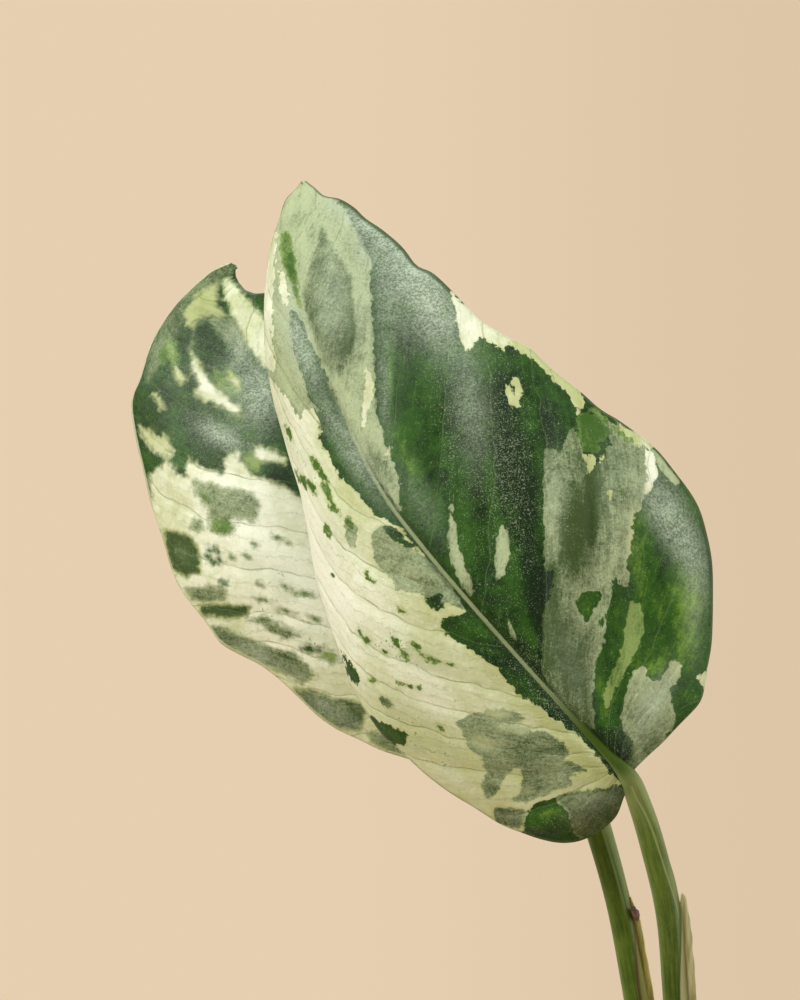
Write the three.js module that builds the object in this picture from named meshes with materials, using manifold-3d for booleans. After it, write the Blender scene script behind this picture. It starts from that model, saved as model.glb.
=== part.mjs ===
// A potted variegated Epipremnum pinnatum: a young climbing aroid with two leaves, in a clay pot.
// Millimetres, +Z up. The origin is the middle of the pot's flat underside. Seen along +Y, both
// leaves show their upper faces, and their blades lean up and to the left.

import * as THREE from 'three';
import Module from 'manifold-3d';
import { mergeGeometries, mergeVertices } from 'three/addons/utils/BufferGeometryUtils.js';

const wasm = await Module();
wasm.setup();

// Gap between touching pieces
const CLEARANCE = 0.3;

// The clay pot: thrown body, thicker collar, drain holes round the solid middle of its base
const POT = {
  height: 100, baseRadius: 38.5, shoulderRadius: 53.5, collarHeight: 22, collarRadius: 57, rimRadius: 59,
  floor: 6, innerFloorRadius: 33.5, innerRimRadius: 53, edge: 1.6, sides: 48, edgeSteps: 3,
  drainHoles: 5, drainRadius: 3.5, drainCircle: 19, drainSides: 12,
};

// The soil: low mound with lumps, a little under the rim
const SOIL = {
  edgeHeight: 91, moundHeight: 4, rings: 8, sides: 40,
  lump: 0.9, coarseWave: [5.1, 4.3], smallLump: 0.6, smallWave: [2.9, 3.7],
};

// The stem, foot first: x, y, z and radius of each point on its axis
const STEM = {
  axis: [
    [4.6, 0.4, 60, 3.1], [4.9, 0.3, 82, 3.1], [5.0, 0.0, 97, 3.2], [5.4, -0.3, 109, 3.2],
    [4.9, 0.2, 122, 2.9], [5.3, 0.3, 130, 1.9], [6.2, 0.2, 138, 0.6],
  ],
  steps: 34, sides: 12, nodeHeights: [103, 115, 126], nodeSwell: 0.45, nodeWidth: 1.3,
};

// Short root nubs on the stem, under its nodes: x, y, z and radius, root first
const ROOT_NUBS = [
  [[6.5, 0.0, 102, 1.0], [9.4, -0.6, 100.8, 0.9], [11.6, -1.2, 98.9, 0.5]],
  [[5.6, 1.6, 114, 0.9], [6.3, 4.6, 112.6, 0.8], [6.9, 6.2, 110.8, 0.45]],
];
const NUB_STEPS = 4;
const NUB_SIDES = 6;

// The blades: columns on each side of the midrib and rows from base to tip, one row in four on a vein.
// The blade is quilted: it rises by the quilt's height between veins. A vein leaves the midrib low
// down and sweeps forward to the margin, as the start, sweep and bend say.
const BLADE = {
  thickness: 0.8, columns: 6, rows: 48, veins: 12, quilt: 0.55, quiltMiddle: 0.4,
  veinStart: 0.12, veinSweep: 2.3, veinBend: 0.8,
};

// The front leaf. Rib and margins run from the blade's base to its tip, in thirteen places each.
// The stalk is the petiole, from the stem up: x, y, z and radius. The sheath is the thin wing on it.
const FRONT_LEAF = {
  rib: [
    [-9.7, -8, 189.9], [-13.9, -8.5, 194.5], [-19.5, -8.5, 200.5], [-26.3, -7.5, 208], [-33.4, -6, 216],
    [-39.9, -3.5, 223.7], [-45.9, 0, 231.6], [-51, 4.5, 241], [-55.7, 9.5, 251.7], [-58.5, 15, 261.6],
    [-59.5, 19.5, 269.5], [-59.3, 23.5, 275.7], [-58.6, 27, 280.4],
  ],
  right: [
    [-8.5, -8, 191.3], [-0.3, -5.5, 199.3], [3.1, -1.5, 209.7], [2.5, 1.5, 226.5], [-4.2, 3, 237.8],
    [-13.3, 4.5, 244.7], [-23, 7, 253], [-31.9, 10.5, 259], [-39.5, 14.5, 266.2], [-45.7, 19, 272.1],
    [-50.9, 22.5, 276.5], [-55.6, 25, 278.7], [-58, 27, 280.9],
  ],
  left: [
    [-9.7, -8, 188.1], [-13.6, -5.5, 181.7], [-23.6, -2.5, 180.6], [-34.9, 1.5, 186.1], [-45.2, 5, 194.4],
    [-52, 8.5, 205.2], [-56, 12, 217.3], [-59, 16, 231], [-62.2, 20, 243], [-64.3, 24, 253.5],
    [-64.5, 26.5, 262.4], [-62.7, 27.5, 273.4], [-59.1, 27, 280.8],
  ],
  belly: { right: 0.09, left: 0.15 },
  stalk: [
    [1.9, -2.7, 108, 2.5], [1.0, -3.7, 118, 2.4], [-0.5, -5.4, 131, 2.1], [-1.8, -7, 145, 1.95],
    [-2.7, -8.1, 158.5, 1.9], [-3.7, -8.9, 170, 1.9], [-5.9, -9.3, 180, 2.0], [-8, -9, 186.6, 2.2],
  ],
  sheath: { top: 0.72, width: 3.2, baseWidth: 5.4, topWay: [1, -0.1, 0], baseWay: [1, -0.3, 0] },
};

// The back leaf, given in the same way. Its right half lies behind the front leaf.
const BACK_LEAF = {
  rib: [
    [-17.2, 14, 190.5], [-24.3, 15.5, 199.6], [-32, 17.5, 207.2], [-39.6, 20.5, 214.8], [-46.6, 24, 222.5],
    [-52.9, 28, 230.2], [-58.4, 32, 238.1], [-63.1, 36.5, 245.2], [-66.7, 41, 251.6], [-69.7, 45, 257.3],
    [-71.7, 48.5, 262.3], [-72, 51, 265.9], [-70.5, 53, 269.1],
  ],
  right: [
    [-16, 14, 191.7], [-12.1, 18, 201.8], [-12.6, 22, 212.4], [-17.1, 26, 224], [-23.9, 30, 234.1],
    [-31.7, 34, 242], [-39.5, 38, 248.1], [-47.5, 42, 253.3], [-54.7, 45.5, 258.2], [-60.3, 48, 261.8],
    [-65.7, 50, 264.3], [-68.8, 52, 265.8], [-69.7, 53, 268.7],
  ],
  left: [
    [-17, 14, 188.5], [-22.1, 15, 186.3], [-31.2, 18, 186.5], [-42.3, 22, 190.9], [-53.6, 27, 195.3],
    [-65.1, 31, 204.8], [-74.2, 35, 211.5], [-79.9, 39, 221], [-83.8, 43.5, 232.6], [-86.6, 48, 245.4],
    [-84.1, 51, 255.1], [-77.7, 52.5, 264.5], [-71, 53, 269.5],
  ],
  belly: { right: 0.09, left: 0.12 },
  stalk: [
    [2.0, 3.2, 119.5, 2.3], [0.4, 4.6, 125.5, 2.2], [-2.8, 6.8, 133.5, 2.05], [-5.6, 8.7, 143.5, 1.95],
    [-8, 10, 157.8, 1.9], [-10.1, 11, 169.1, 1.9], [-12.8, 12.2, 179.3, 2.0], [-15.4, 13.4, 187, 2.2],
  ],
  sheath: { top: 0.7, width: 2.8, baseWidth: 5.0, topWay: [1, -0.25, 0], baseWay: [1, 0.3, 0] },
};

// The midrib under the blade: its radius from the base to its end, and how far it sinks behind the blade
const MIDRIB = {
  sides: 8, steps: 44, places: 9, radii: [2.0, 1.3, 0.95, 0.75, 0.6, 0.5], reach: 0.94, sink: 0.55,
};

// The sheath: where it starts on the stalk, how far up it narrows, and how much narrower its top end is
const SHEATH = { foot: 0.02, taper: 0.7, drop: 2.2, columns: 2, rows: 16 };

// Half the length over which a curve's or a sheet's direction is measured
const PROBE = 0.004;

const COLOURS = { clay: 0xb5714c, soil: 0x3a2a20, stem: 0x55662e, leaf: 0x4c7040 };

// Curves and small helpers

function curveThrough(points) {
  const places = points.map((p) => new THREE.Vector3(p[0], p[1], p[2]));
  return new THREE.CatmullRomCurve3(places, false, 'catmullrom');
}

function radiusAlong(radii) {
  return new THREE.CatmullRomCurve3(radii.map((r) => new THREE.Vector3(r, 0, 0)), false, 'catmullrom');
}

function withPositionOnly(geometry) {
  const bare = geometry.clone();
  bare.deleteAttribute('normal');
  bare.deleteAttribute('uv');
  return mergeVertices(bare, 1e-5);
}

function toSolid(geometry) {
  const merged = withPositionOnly(geometry);
  const vertProperties = new Float32Array(merged.attributes.position.array);
  const triVerts = new Uint32Array(merged.index.array);
  return new wasm.Manifold(new wasm.Mesh({ numProp: 3, vertProperties, triVerts }));
}

function toGeometry(solid) {
  const mesh = solid.getMesh();
  const geometry = new THREE.BufferGeometry();
  geometry.setAttribute('position', new THREE.Float32BufferAttribute(mesh.vertProperties, 3));
  geometry.setIndex(Array.from(mesh.triVerts));
  geometry.computeVertexNormals();
  return geometry;
}

// A round stalk along a curve, thick as radiusAt says: a closed cylinder bent to the curve
function bentCylinder(centreAt, radiusAt, sides, steps) {
  const geometry = new THREE.CylinderGeometry(1, 1, 1, sides, steps);
  const position = geometry.attributes.position;
  const viewer = new THREE.Vector3(0, -1, 0);
  for (let i = 0; i < position.count; i += 1) {
    const along = THREE.MathUtils.clamp(position.getY(i) + 0.5, 0, 1);
    const centre = centreAt(along);
    const ahead = centreAt(Math.min(along + PROBE, 1));
    const tangent = ahead.sub(centreAt(Math.max(along - PROBE, 0))).normalize();
    const front = viewer.clone().addScaledVector(tangent, -viewer.dot(tangent)).normalize();
    const side = new THREE.Vector3().crossVectors(front, tangent);
    centre.addScaledVector(front, position.getX(i) * radiusAt(along));
    centre.addScaledVector(side, position.getZ(i) * radiusAt(along));
    position.setXYZ(i, centre.x, centre.y, centre.z);
  }
  return geometry;
}

function taperedStalk(points, sides, steps) {
  const centres = curveThrough(points);
  const radii = radiusAlong(points.map((p) => p[3]));
  return bentCylinder((t) => centres.getPoint(t), (t) => radii.getPoint(t).x, sides, steps);
}

// A thin closed sheet: pointAt(across, along) gives its upper face, and the lower face lies behind it.
// Both faces are split into triangles along the same diagonals, and a strip closes the edge.
function thinSheet(pointAt, columns, rows, thickness) {
  const upper = new THREE.PlaneGeometry(1, 1, columns, rows);
  const lower = upper.clone();
  for (let i = 0; i < upper.attributes.position.count; i += 1) {
    const u = upper.attributes.position.getX(i) + 0.5;
    const v = upper.attributes.position.getY(i) + 0.5;
    const across = pointAt(Math.min(u + PROBE, 1), v).sub(pointAt(Math.max(u - PROBE, 0), v));
    const along = pointAt(u, Math.min(v + PROBE, 1)).sub(pointAt(u, Math.max(v - PROBE, 0)));
    const normal = across.cross(along).normalize();
    const top = pointAt(u, v);
    const bottom = top.clone().addScaledVector(normal, -thickness);
    upper.attributes.position.setXYZ(i, top.x, top.y, top.z);
    lower.attributes.position.setXYZ(i, bottom.x, bottom.y, bottom.z);
  }
  const wide = columns + 1;
  const edge = [];
  for (let c = 0; c < columns; c += 1) edge.push(c);
  for (let r = 0; r < rows; r += 1) edge.push(r * wide + columns);
  for (let c = columns; c > 0; c -= 1) edge.push(rows * wide + c);
  for (let r = rows; r > 0; r -= 1) edge.push(r * wide);
  const count = upper.attributes.position.count;
  const faces = Array.from(upper.index.array);
  for (let i = 0; i < upper.index.count; i += 3) {
    faces.push(faces[i] + count, faces[i + 2] + count, faces[i + 1] + count);
  }
  edge.forEach((here, i) => {
    const next = edge[(i + 1) % edge.length];
    faces.push(here, next, next + count, here, next + count, here + count);
  });
  const sheet = mergeGeometries([upper, lower]);
  sheet.setIndex(faces);
  return sheet;
}

// The pot

function makePot() {
  const p = POT;
  const collarFoot = p.height - p.collarHeight;
  const outline = new THREE.Path();
  outline.moveTo(0, 0);
  outline.lineTo(p.baseRadius - p.edge, 0);
  outline.quadraticCurveTo(p.baseRadius, 0, p.baseRadius + 0.3, p.edge);
  outline.lineTo(p.shoulderRadius, collarFoot - p.edge);
  outline.quadraticCurveTo(p.shoulderRadius + 0.2, collarFoot, p.collarRadius - p.edge, collarFoot);
  outline.quadraticCurveTo(p.collarRadius, collarFoot, p.collarRadius + 0.1, collarFoot + p.edge);
  outline.lineTo(p.rimRadius, p.height - p.edge);
  outline.quadraticCurveTo(p.rimRadius, p.height, p.rimRadius - p.edge, p.height);
  outline.lineTo(p.innerRimRadius + p.edge, p.height);
  outline.quadraticCurveTo(p.innerRimRadius, p.height, p.innerRimRadius, p.height - p.edge);
  outline.lineTo(p.innerFloorRadius, p.floor);
  outline.lineTo(0, p.floor);
  const body = new THREE.LatheGeometry(outline.getPoints(p.edgeSteps), p.sides).rotateX(Math.PI / 2);
  let pot = toSolid(body);
  for (let i = 0; i < p.drainHoles; i += 1) {
    const angle = (i * 2 * Math.PI) / p.drainHoles;
    const drill = new THREE.CylinderGeometry(p.drainRadius, p.drainRadius, p.floor * 3, p.drainSides);
    drill.rotateX(Math.PI / 2);
    drill.translate(p.drainCircle * Math.sin(angle), p.drainCircle * Math.cos(angle), 0);
    pot = pot.subtract(toSolid(drill));
  }
  return toGeometry(pot);
}

// The soil

function potInnerRadius(z) {
  const rise = (z - POT.floor) / (POT.height - POT.edge - POT.floor);
  return POT.innerFloorRadius + rise * (POT.innerRimRadius - POT.innerFloorRadius);
}

function soilLump(x, y) {
  const coarse = Math.sin(x / SOIL.coarseWave[0] + 1) * Math.cos(y / SOIL.coarseWave[1]);
  const small = Math.sin((x + y) / SOIL.smallWave[0]) * Math.cos((x - y) / SOIL.smallWave[1] + 1);
  return SOIL.lump * coarse + SOIL.smallLump * small;
}

function makeSoil() {
  const wallRadius = potInnerRadius(SOIL.edgeHeight) - CLEARANCE;
  const bottomRadius = potInnerRadius(POT.floor + CLEARANCE) - CLEARANCE;
  const outline = [new THREE.Vector2(0, POT.floor + CLEARANCE)];
  outline.push(new THREE.Vector2(bottomRadius, POT.floor + CLEARANCE));
  for (let i = 0; i <= SOIL.rings; i += 1) {
    const out = 1 - i / SOIL.rings;
    outline.push(new THREE.Vector2(wallRadius * out, SOIL.edgeHeight + SOIL.moundHeight * (1 - out * out)));
  }
  const body = new THREE.LatheGeometry(outline, SOIL.sides).rotateX(Math.PI / 2);
  const position = body.attributes.position;
  for (let i = 0; i < position.count; i += 1) {
    const x = position.getX(i);
    const y = position.getY(i);
    const radius = Math.hypot(x, y);
    const inTop = position.getZ(i) > SOIL.edgeHeight - 1 && radius < wallRadius - 1;
    if (inTop) position.setZ(i, position.getZ(i) + soilLump(x, y));
  }
  return toGeometry(toSolid(body).subtract(stemHole()));
}

// The stem

function stemRadius(radii, centres, along) {
  const z = centres.getPoint(along).z;
  const swellAt = (node) => Math.exp(-(((z - node) / STEM.nodeWidth) ** 2));
  const swell = STEM.nodeHeights.reduce((sum, node) => sum + swellAt(node), 0);
  return radii.getPoint(along).x + STEM.nodeSwell * swell;
}

function stemBody(grow) {
  const centres = curveThrough(STEM.axis);
  const radii = radiusAlong(STEM.axis.map((p) => p[3]));
  const body = bentCylinder(
    (t) => centres.getPoint(t), (t) => stemRadius(radii, centres, t) + grow, STEM.sides, STEM.steps);
  return toSolid(body);
}

// The room that the stem needs in what touches it
function stemHole() {
  return stemBody(CLEARANCE).add(stemBody(CLEARANCE).translate([0, 0, -CLEARANCE]));
}

function makeStem() {
  const nubs = ROOT_NUBS.map((points) => toSolid(taperedStalk(points, NUB_SIDES, NUB_STEPS)));
  return toGeometry(nubs.reduce((stem, nub) => stem.add(nub), stemBody(0)));
}

// The leaves

function smooth(from, to, value) {
  return THREE.MathUtils.smoothstep(value, from, to);
}

// Where on the midrib the vein starts that ends at this place on the margin
function veinStart(vein) {
  return BLADE.veinStart * vein + (1 - BLADE.veinStart) * vein ** BLADE.veinSweep;
}

// The quilting fades out at the midrib, the margin, the base and the tip
function quiltHeight(reach, vein) {
  const acrossFade = smooth(0, 0.35, reach) * smooth(0, 0.3, 1 - reach);
  const alongFade = smooth(0, 0.2, vein) * smooth(0, 0.15, 1 - vein);
  const rise = Math.abs(Math.sin(Math.PI * BLADE.veins * vein)) - BLADE.quiltMiddle;
  return BLADE.quilt * acrossFade * alongFade * rise;
}

function bladeSurface(leaf) {
  const rib = curveThrough(leaf.rib);
  const margins = { left: curveThrough(leaf.left), right: curveThrough(leaf.right) };
  return (across, vein) => {
    const side = across < 0 ? 'left' : 'right';
    const reach = Math.abs(across);
    const start = veinStart(vein);
    const along = start + (vein - start) * reach ** BLADE.veinBend;
    const base = rib.getPoint(along);
    const half = margins[side].getPoint(along).sub(base);
    const tangent = rib.getTangent(Math.min(Math.max(along, 0.01), 0.99));
    const up = side === 'right' ? half.clone().cross(tangent) : tangent.clone().cross(half);
    const arch = leaf.belly[side] * 4 * reach * (1 - reach);
    const point = base.addScaledVector(half, reach).addScaledVector(up, arch);
    return point.addScaledVector(up.normalize(), quiltHeight(reach, vein));
  };
}

function makeBlade(leaf) {
  const surface = bladeSurface(leaf);
  return thinSheet((u, v) => surface(2 * u - 1, v), 2 * BLADE.columns, BLADE.rows, BLADE.thickness);
}

// The petiole and the midrib are one stalk, which runs on under the blade to near its tip
function makeStalk(leaf) {
  const points = leaf.stalk.map((p) => p.slice());
  const radii = radiusAlong(MIDRIB.radii);
  const rib = curveThrough(leaf.rib);
  for (let i = 1; i <= MIDRIB.places; i += 1) {
    const part = i / MIDRIB.places;
    const radius = radii.getPoint(part).x;
    const along = part * MIDRIB.reach;
    const under = rib.getPoint(along);
    const lean = rib.getTangent(along);
    const back = new THREE.Vector3(0, 1, 0).addScaledVector(lean, -lean.y).normalize();
    under.addScaledVector(back, smooth(0, 0.3, part) * (radius * MIDRIB.sink + BLADE.thickness / 2));
    points.push([under.x, under.y, under.z, radius]);
  }
  return taperedStalk(points, MIDRIB.sides, MIDRIB.steps);
}

// The papery wing on the petiole: it starts inside the petiole and is widest where it clasps the stem
function makeSheath(leaf) {
  const centres = curveThrough(leaf.stalk);
  const { top, width, baseWidth, topWay, baseWay } = leaf.sheath;
  const sheet = (u, v) => {
    const way = new THREE.Vector3(...baseWay).lerp(new THREE.Vector3(...topWay), v).normalize();
    const narrowing = smooth(0, SHEATH.taper, v);
    const wide = THREE.MathUtils.lerp(baseWidth, width, narrowing) - SHEATH.drop * smooth(0.9, 1, v);
    return centres.getPoint(SHEATH.foot + (top - SHEATH.foot) * v).addScaledVector(way, u * wide);
  };
  return thinSheet(sheet, SHEATH.columns, SHEATH.rows, BLADE.thickness);
}

function makeLeaf(leaf) {
  const parts = [makeBlade(leaf), makeStalk(leaf), makeSheath(leaf)].map(toSolid);
  const whole = parts.reduce((sum, part) => sum.add(part));
  return toGeometry(whole.subtract(stemHole()));
}

// The whole plant

function namedMesh(name, geometry, colour, roughness) {
  const material = new THREE.MeshStandardMaterial({ color: colour, roughness, metalness: 0 });
  const mesh = new THREE.Mesh(geometry, material);
  mesh.name = name;
  return mesh;
}

const plant = new THREE.Group();
plant.add(namedMesh('pot', makePot(), COLOURS.clay, 0.9));
plant.add(namedMesh('soil', makeSoil(), COLOURS.soil, 1.0));
plant.add(namedMesh('stem', makeStem(), COLOURS.stem, 0.6));
plant.add(namedMesh('leaf_front', makeLeaf(FRONT_LEAF), COLOURS.leaf, 0.45));
plant.add(namedMesh('leaf_back', makeLeaf(BACK_LEAF), COLOURS.leaf, 0.45));

export default plant;
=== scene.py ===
import math

import bmesh
import bpy
import numpy as np
from mathutils import Matrix, Vector, noise


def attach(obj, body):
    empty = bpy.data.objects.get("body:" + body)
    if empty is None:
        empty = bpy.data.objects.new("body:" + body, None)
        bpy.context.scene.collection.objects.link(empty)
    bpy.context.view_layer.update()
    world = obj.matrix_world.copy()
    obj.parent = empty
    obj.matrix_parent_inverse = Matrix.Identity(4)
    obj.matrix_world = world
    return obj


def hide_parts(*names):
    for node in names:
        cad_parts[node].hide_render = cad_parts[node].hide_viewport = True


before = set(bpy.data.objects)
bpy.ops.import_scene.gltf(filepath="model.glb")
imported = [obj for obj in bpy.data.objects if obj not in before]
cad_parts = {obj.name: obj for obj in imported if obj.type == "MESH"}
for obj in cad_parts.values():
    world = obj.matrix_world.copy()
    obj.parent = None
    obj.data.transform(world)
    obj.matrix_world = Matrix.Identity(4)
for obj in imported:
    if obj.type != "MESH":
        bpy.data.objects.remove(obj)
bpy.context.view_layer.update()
scene = bpy.context.scene

# The camera stands level with the leaves, straight in front of them, as the photographer's did.
# Its frame ends above the pot, so only the leaves and the tops of their petioles are in the picture.
MM = 0.001
EYE = np.array([-43.5, -700.0, 231.0])
PIXEL = 0.15
PICTURE_MIDDLE = (400, 500)

lens = bpy.data.cameras.new("Camera")
lens.lens = 168
lens.sensor_width = 36
lens.clip_start = 0.01
camera = bpy.data.objects.new("Camera", lens)
camera.location = Vector(EYE) * MM
camera.rotation_euler = (math.pi / 2, 0, 0)
scene.collection.objects.link(camera)
scene.camera = camera
scene.view_settings.view_transform = "Standard"


def picture_scale(places):
    """How many millimetres one pixel of the picture covers at each place."""
    return PIXEL * (places[..., 1] - EYE[1]) / -EYE[1]


def in_picture(places):
    """The pixel at which each place is seen."""
    scale = picture_scale(places)
    across = PICTURE_MIDDLE[0] + (places[..., 0] - EYE[0]) / scale
    down = PICTURE_MIDDLE[1] - (places[..., 2] - EYE[2]) / scale
    return np.stack([across, down], axis=-1)


# The pot is turned from red clay and fired unglazed: a tapering wall, a thicker collar round its top
# and five drain holes in a flat base. Damp has left a pale bloom of lime on it, mostly under the collar.
POT_HEIGHT = 100
POT_FLOOR = 6
INNER_FOOT = 33.5
INNER_TOP = 53
POT_OUTLINE = [
    (0, 0), (38.5, 0), (53.5, 78), (57, 78.3), (59, POT_HEIGHT), (INNER_TOP, POT_HEIGHT),
    (INNER_FOOT, POT_FLOOR), (0, POT_FLOOR),
]
POT_SIDES = 144
POT_RING = 2.5
POT_EDGE = 1.1
POT_WOBBLE = 0.22
DRAIN_HOLES = 5
DRAIN_RADIUS = 3.5
DRAIN_CIRCLE = 19


def srgb(red, green, blue):
    """A colour named by its screen values, as the shader wants it."""
    linear = [((c / 255 + 0.055) / 1.055) ** 2.4 if c > 10 else c / 3294 for c in (red, green, blue)]
    return (*linear, 1.0)


def node(tree, kind, inputs=None, **settings):
    """Adds a shader node. Each input is a plain value or another node's output."""
    made = tree.nodes.new("ShaderNode" + kind)
    for name, value in settings.items():
        setattr(made, name, value)
    for key, value in (inputs or {}).items():
        if isinstance(value, bpy.types.NodeSocket):
            tree.links.new(value, made.inputs[key])
        else:
            made.inputs[key].default_value = value
    return made


def calc(tree, operation, first, second=0.0):
    return node(tree, "Math", {0: first, 1: second}, operation=operation).outputs[0]


def times(tree, first, second):
    return calc(tree, "MULTIPLY", first, second)


def add_up(tree, *parts):
    """The sum of several values, each given with its weight."""
    total = 0.0
    for value, weight in parts:
        total = calc(tree, "ADD", times(tree, value, weight), total)
    return total


def between(tree, value, low, high, start=0.0, end=1.0):
    """Rises smoothly from start to end as the value goes from low to high."""
    limits = {0: value, 1: low, 2: high, 3: start, 4: end}
    return node(tree, "MapRange", limits, interpolation_type="SMOOTHSTEP").outputs[0]


def blend(tree, share, first, second):
    return node(tree, "Mix", {0: share, 6: first, 7: second}, data_type="RGBA").outputs[2]


def tinted(tree, colour, share, strength, tint):
    """The colour with a tint over it, at this strength where the share is 1."""
    return blend(tree, times(tree, share, strength), colour, tint)


def cloud(tree, where, scale, detail=3.0, distortion=0.0, stretch=(1, 1, 1), roughness=0.5):
    """Soft noise from 0 to 1. The scale counts its blotches in a unit of the place it reads."""
    spread = node(tree, "Mapping", {0: where, 3: stretch}).outputs[0]
    made = node(tree, "TexNoise", {"Vector": spread, "Scale": scale, "Detail": detail,
                                   "Roughness": roughness, "Distortion": distortion})
    return made.outputs[0]


def millimetres(tree):
    """Where a point lies on its object, in millimetres."""
    here = node(tree, "TexCoord").outputs["Object"]
    return node(tree, "VectorMath", {0: here, "Scale": 1000.0}, operation="SCALE").outputs[0]


def new_material(name, roughness=0.5, specular=0.5):
    made = bpy.data.materials.new(name)
    made.use_nodes = True
    shader = made.node_tree.nodes["Principled BSDF"]
    shader.inputs["Roughness"].default_value = roughness
    shader.inputs["Specular IOR Level"].default_value = specular
    return made, made.node_tree, shader


def set_bump(tree, shader, height, depth):
    """Gives the shader's surface this relief, depth millimetres deep."""
    made = node(tree, "Bump", {"Height": height, "Strength": 1.0, "Distance": depth * MM})
    tree.links.new(made.outputs[0], shader.inputs["Normal"])


def new_group(name, inputs, outputs):
    """An empty node group with these named sockets, each given with its kind."""
    group = bpy.data.node_groups.new(name, "ShaderNodeTree")
    for way, sockets in (("INPUT", inputs), ("OUTPUT", outputs)):
        for key, kind in sockets.items():
            group.interface.new_socket(key, in_out=way, socket_type="NodeSocket" + kind)
    given = group.nodes.new("NodeGroupInput")
    result = group.nodes.new("NodeGroupOutput")
    return group, given.outputs, result.inputs


def grain_group():
    """Shared grain: a broad blotchiness and a fine speckle of the given size."""
    group, given, result = new_group(
        "Grain", {"Place": "Vector", "Size": "Float"}, {"Blotches": "Float", "Speckle": "Float"})
    fine_scale = calc(group, "DIVIDE", 1.0, given["Size"])
    broad_scale = times(group, fine_scale, 0.04)
    broad = cloud(group, given["Place"], broad_scale, detail=5.0)
    fine = cloud(group, given["Place"], fine_scale, detail=2.0)
    group.links.new(broad, result["Blotches"])
    group.links.new(fine, result["Speckle"])
    return group


def grain(tree, place, size):
    made = node(tree, "Group")
    made.node_tree = GRAIN
    tree.links.new(place, made.inputs["Place"])
    made.inputs["Size"].default_value = size
    return made.outputs["Blotches"], made.outputs["Speckle"]


GRAIN = grain_group()


def finished_mesh(name, bm, *materials):
    """Puts a finished mesh on an object at the origin, shaded smooth."""
    mesh = bpy.data.meshes.new(name)
    bm.to_mesh(mesh)
    bm.free()
    for material in materials:
        mesh.materials.append(material)
    mesh.shade_smooth()
    made = bpy.data.objects.new(name, mesh)
    scene.collection.objects.link(made)
    return made


def as_shown(obj):
    """The object's mesh with its modifiers applied, in place of the mesh that it had."""
    depsgraph = bpy.context.evaluated_depsgraph_get()
    mesh = bpy.data.meshes.new_from_object(obj.evaluated_get(depsgraph))
    obj.modifiers.clear()
    obj.data = mesh


def turned(outline, sides):
    """A closed round body: the outline, in radius and height, turned about the upright axis."""
    bm = bmesh.new()
    verts = [bm.verts.new((radius * MM, 0, height * MM)) for radius, height in outline]
    edges = [bm.edges.new(pair) for pair in zip(verts, verts[1:])]
    bmesh.ops.spin(bm, geom=verts + edges, cent=(0, 0, 0), axis=(0, 0, 1), angle=math.tau, steps=sides,
                   use_merge=True)
    bmesh.ops.remove_doubles(bm, verts=bm.verts, dist=1e-6)
    bmesh.ops.recalc_face_normals(bm, faces=bm.faces)
    return bm


def with_rings(outline, spacing):
    """The same outline with more places on its long stretches."""
    rings = [outline[0]]
    for start, end in zip(outline, outline[1:]):
        parts = max(1, round(math.dist(start, end) / spacing))
        for i in range(1, parts + 1):
            rings.append(tuple(a + (b - a) * i / parts for a, b in zip(start, end)))
    return rings


CLAY = srgb(164, 92, 62), srgb(190, 118, 84)
CLAY_SPECKS = srgb(120, 66, 46)
CLAY_RINGS = srgb(206, 142, 108)
DAMP_CLAY = srgb(128, 70, 48)
LIME_BLOOM = srgb(221, 200, 180)


def clay_material():
    made, tree, shader = new_material("Unglazed red clay")
    place = millimetres(tree)
    height = node(tree, "SeparateXYZ", {0: place}).outputs[2]
    blotches, speckle = grain(tree, place, 0.9)
    rings = cloud(tree, place, 0.02, detail=4.0, stretch=(1, 1, 45))
    colour = blend(tree, between(tree, blotches, 0.3, 0.7), *CLAY)
    colour = tinted(tree, colour, between(tree, speckle, 0.62, 0.75), 0.35, CLAY_SPECKS)
    colour = tinted(tree, colour, rings, 0.22, CLAY_RINGS)
    damp = between(tree, add_up(tree, (height, 1.0), (blotches, 26.0)), 34.0, 16.0)
    colour = tinted(tree, colour, damp, 0.45, DAMP_CLAY)
    patches = cloud(tree, place, 0.07, detail=7.0, distortion=0.6)
    high = between(tree, height, 30.0, 82.0, 0.12, 0.0)
    bloom = between(tree, calc(tree, "SUBTRACT", patches, high), 0.47, 0.68)
    colour = tinted(tree, colour, bloom, 0.5, LIME_BLOOM)
    tree.links.new(colour, shader.inputs["Base Color"])
    tree.links.new(between(tree, damp, 0.0, 1.0, 0.92, 0.72), shader.inputs["Roughness"])
    set_bump(tree, shader, add_up(tree, (speckle, 0.35), (rings, 1.0), (blotches, 0.5)), 0.35)
    return made


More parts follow.
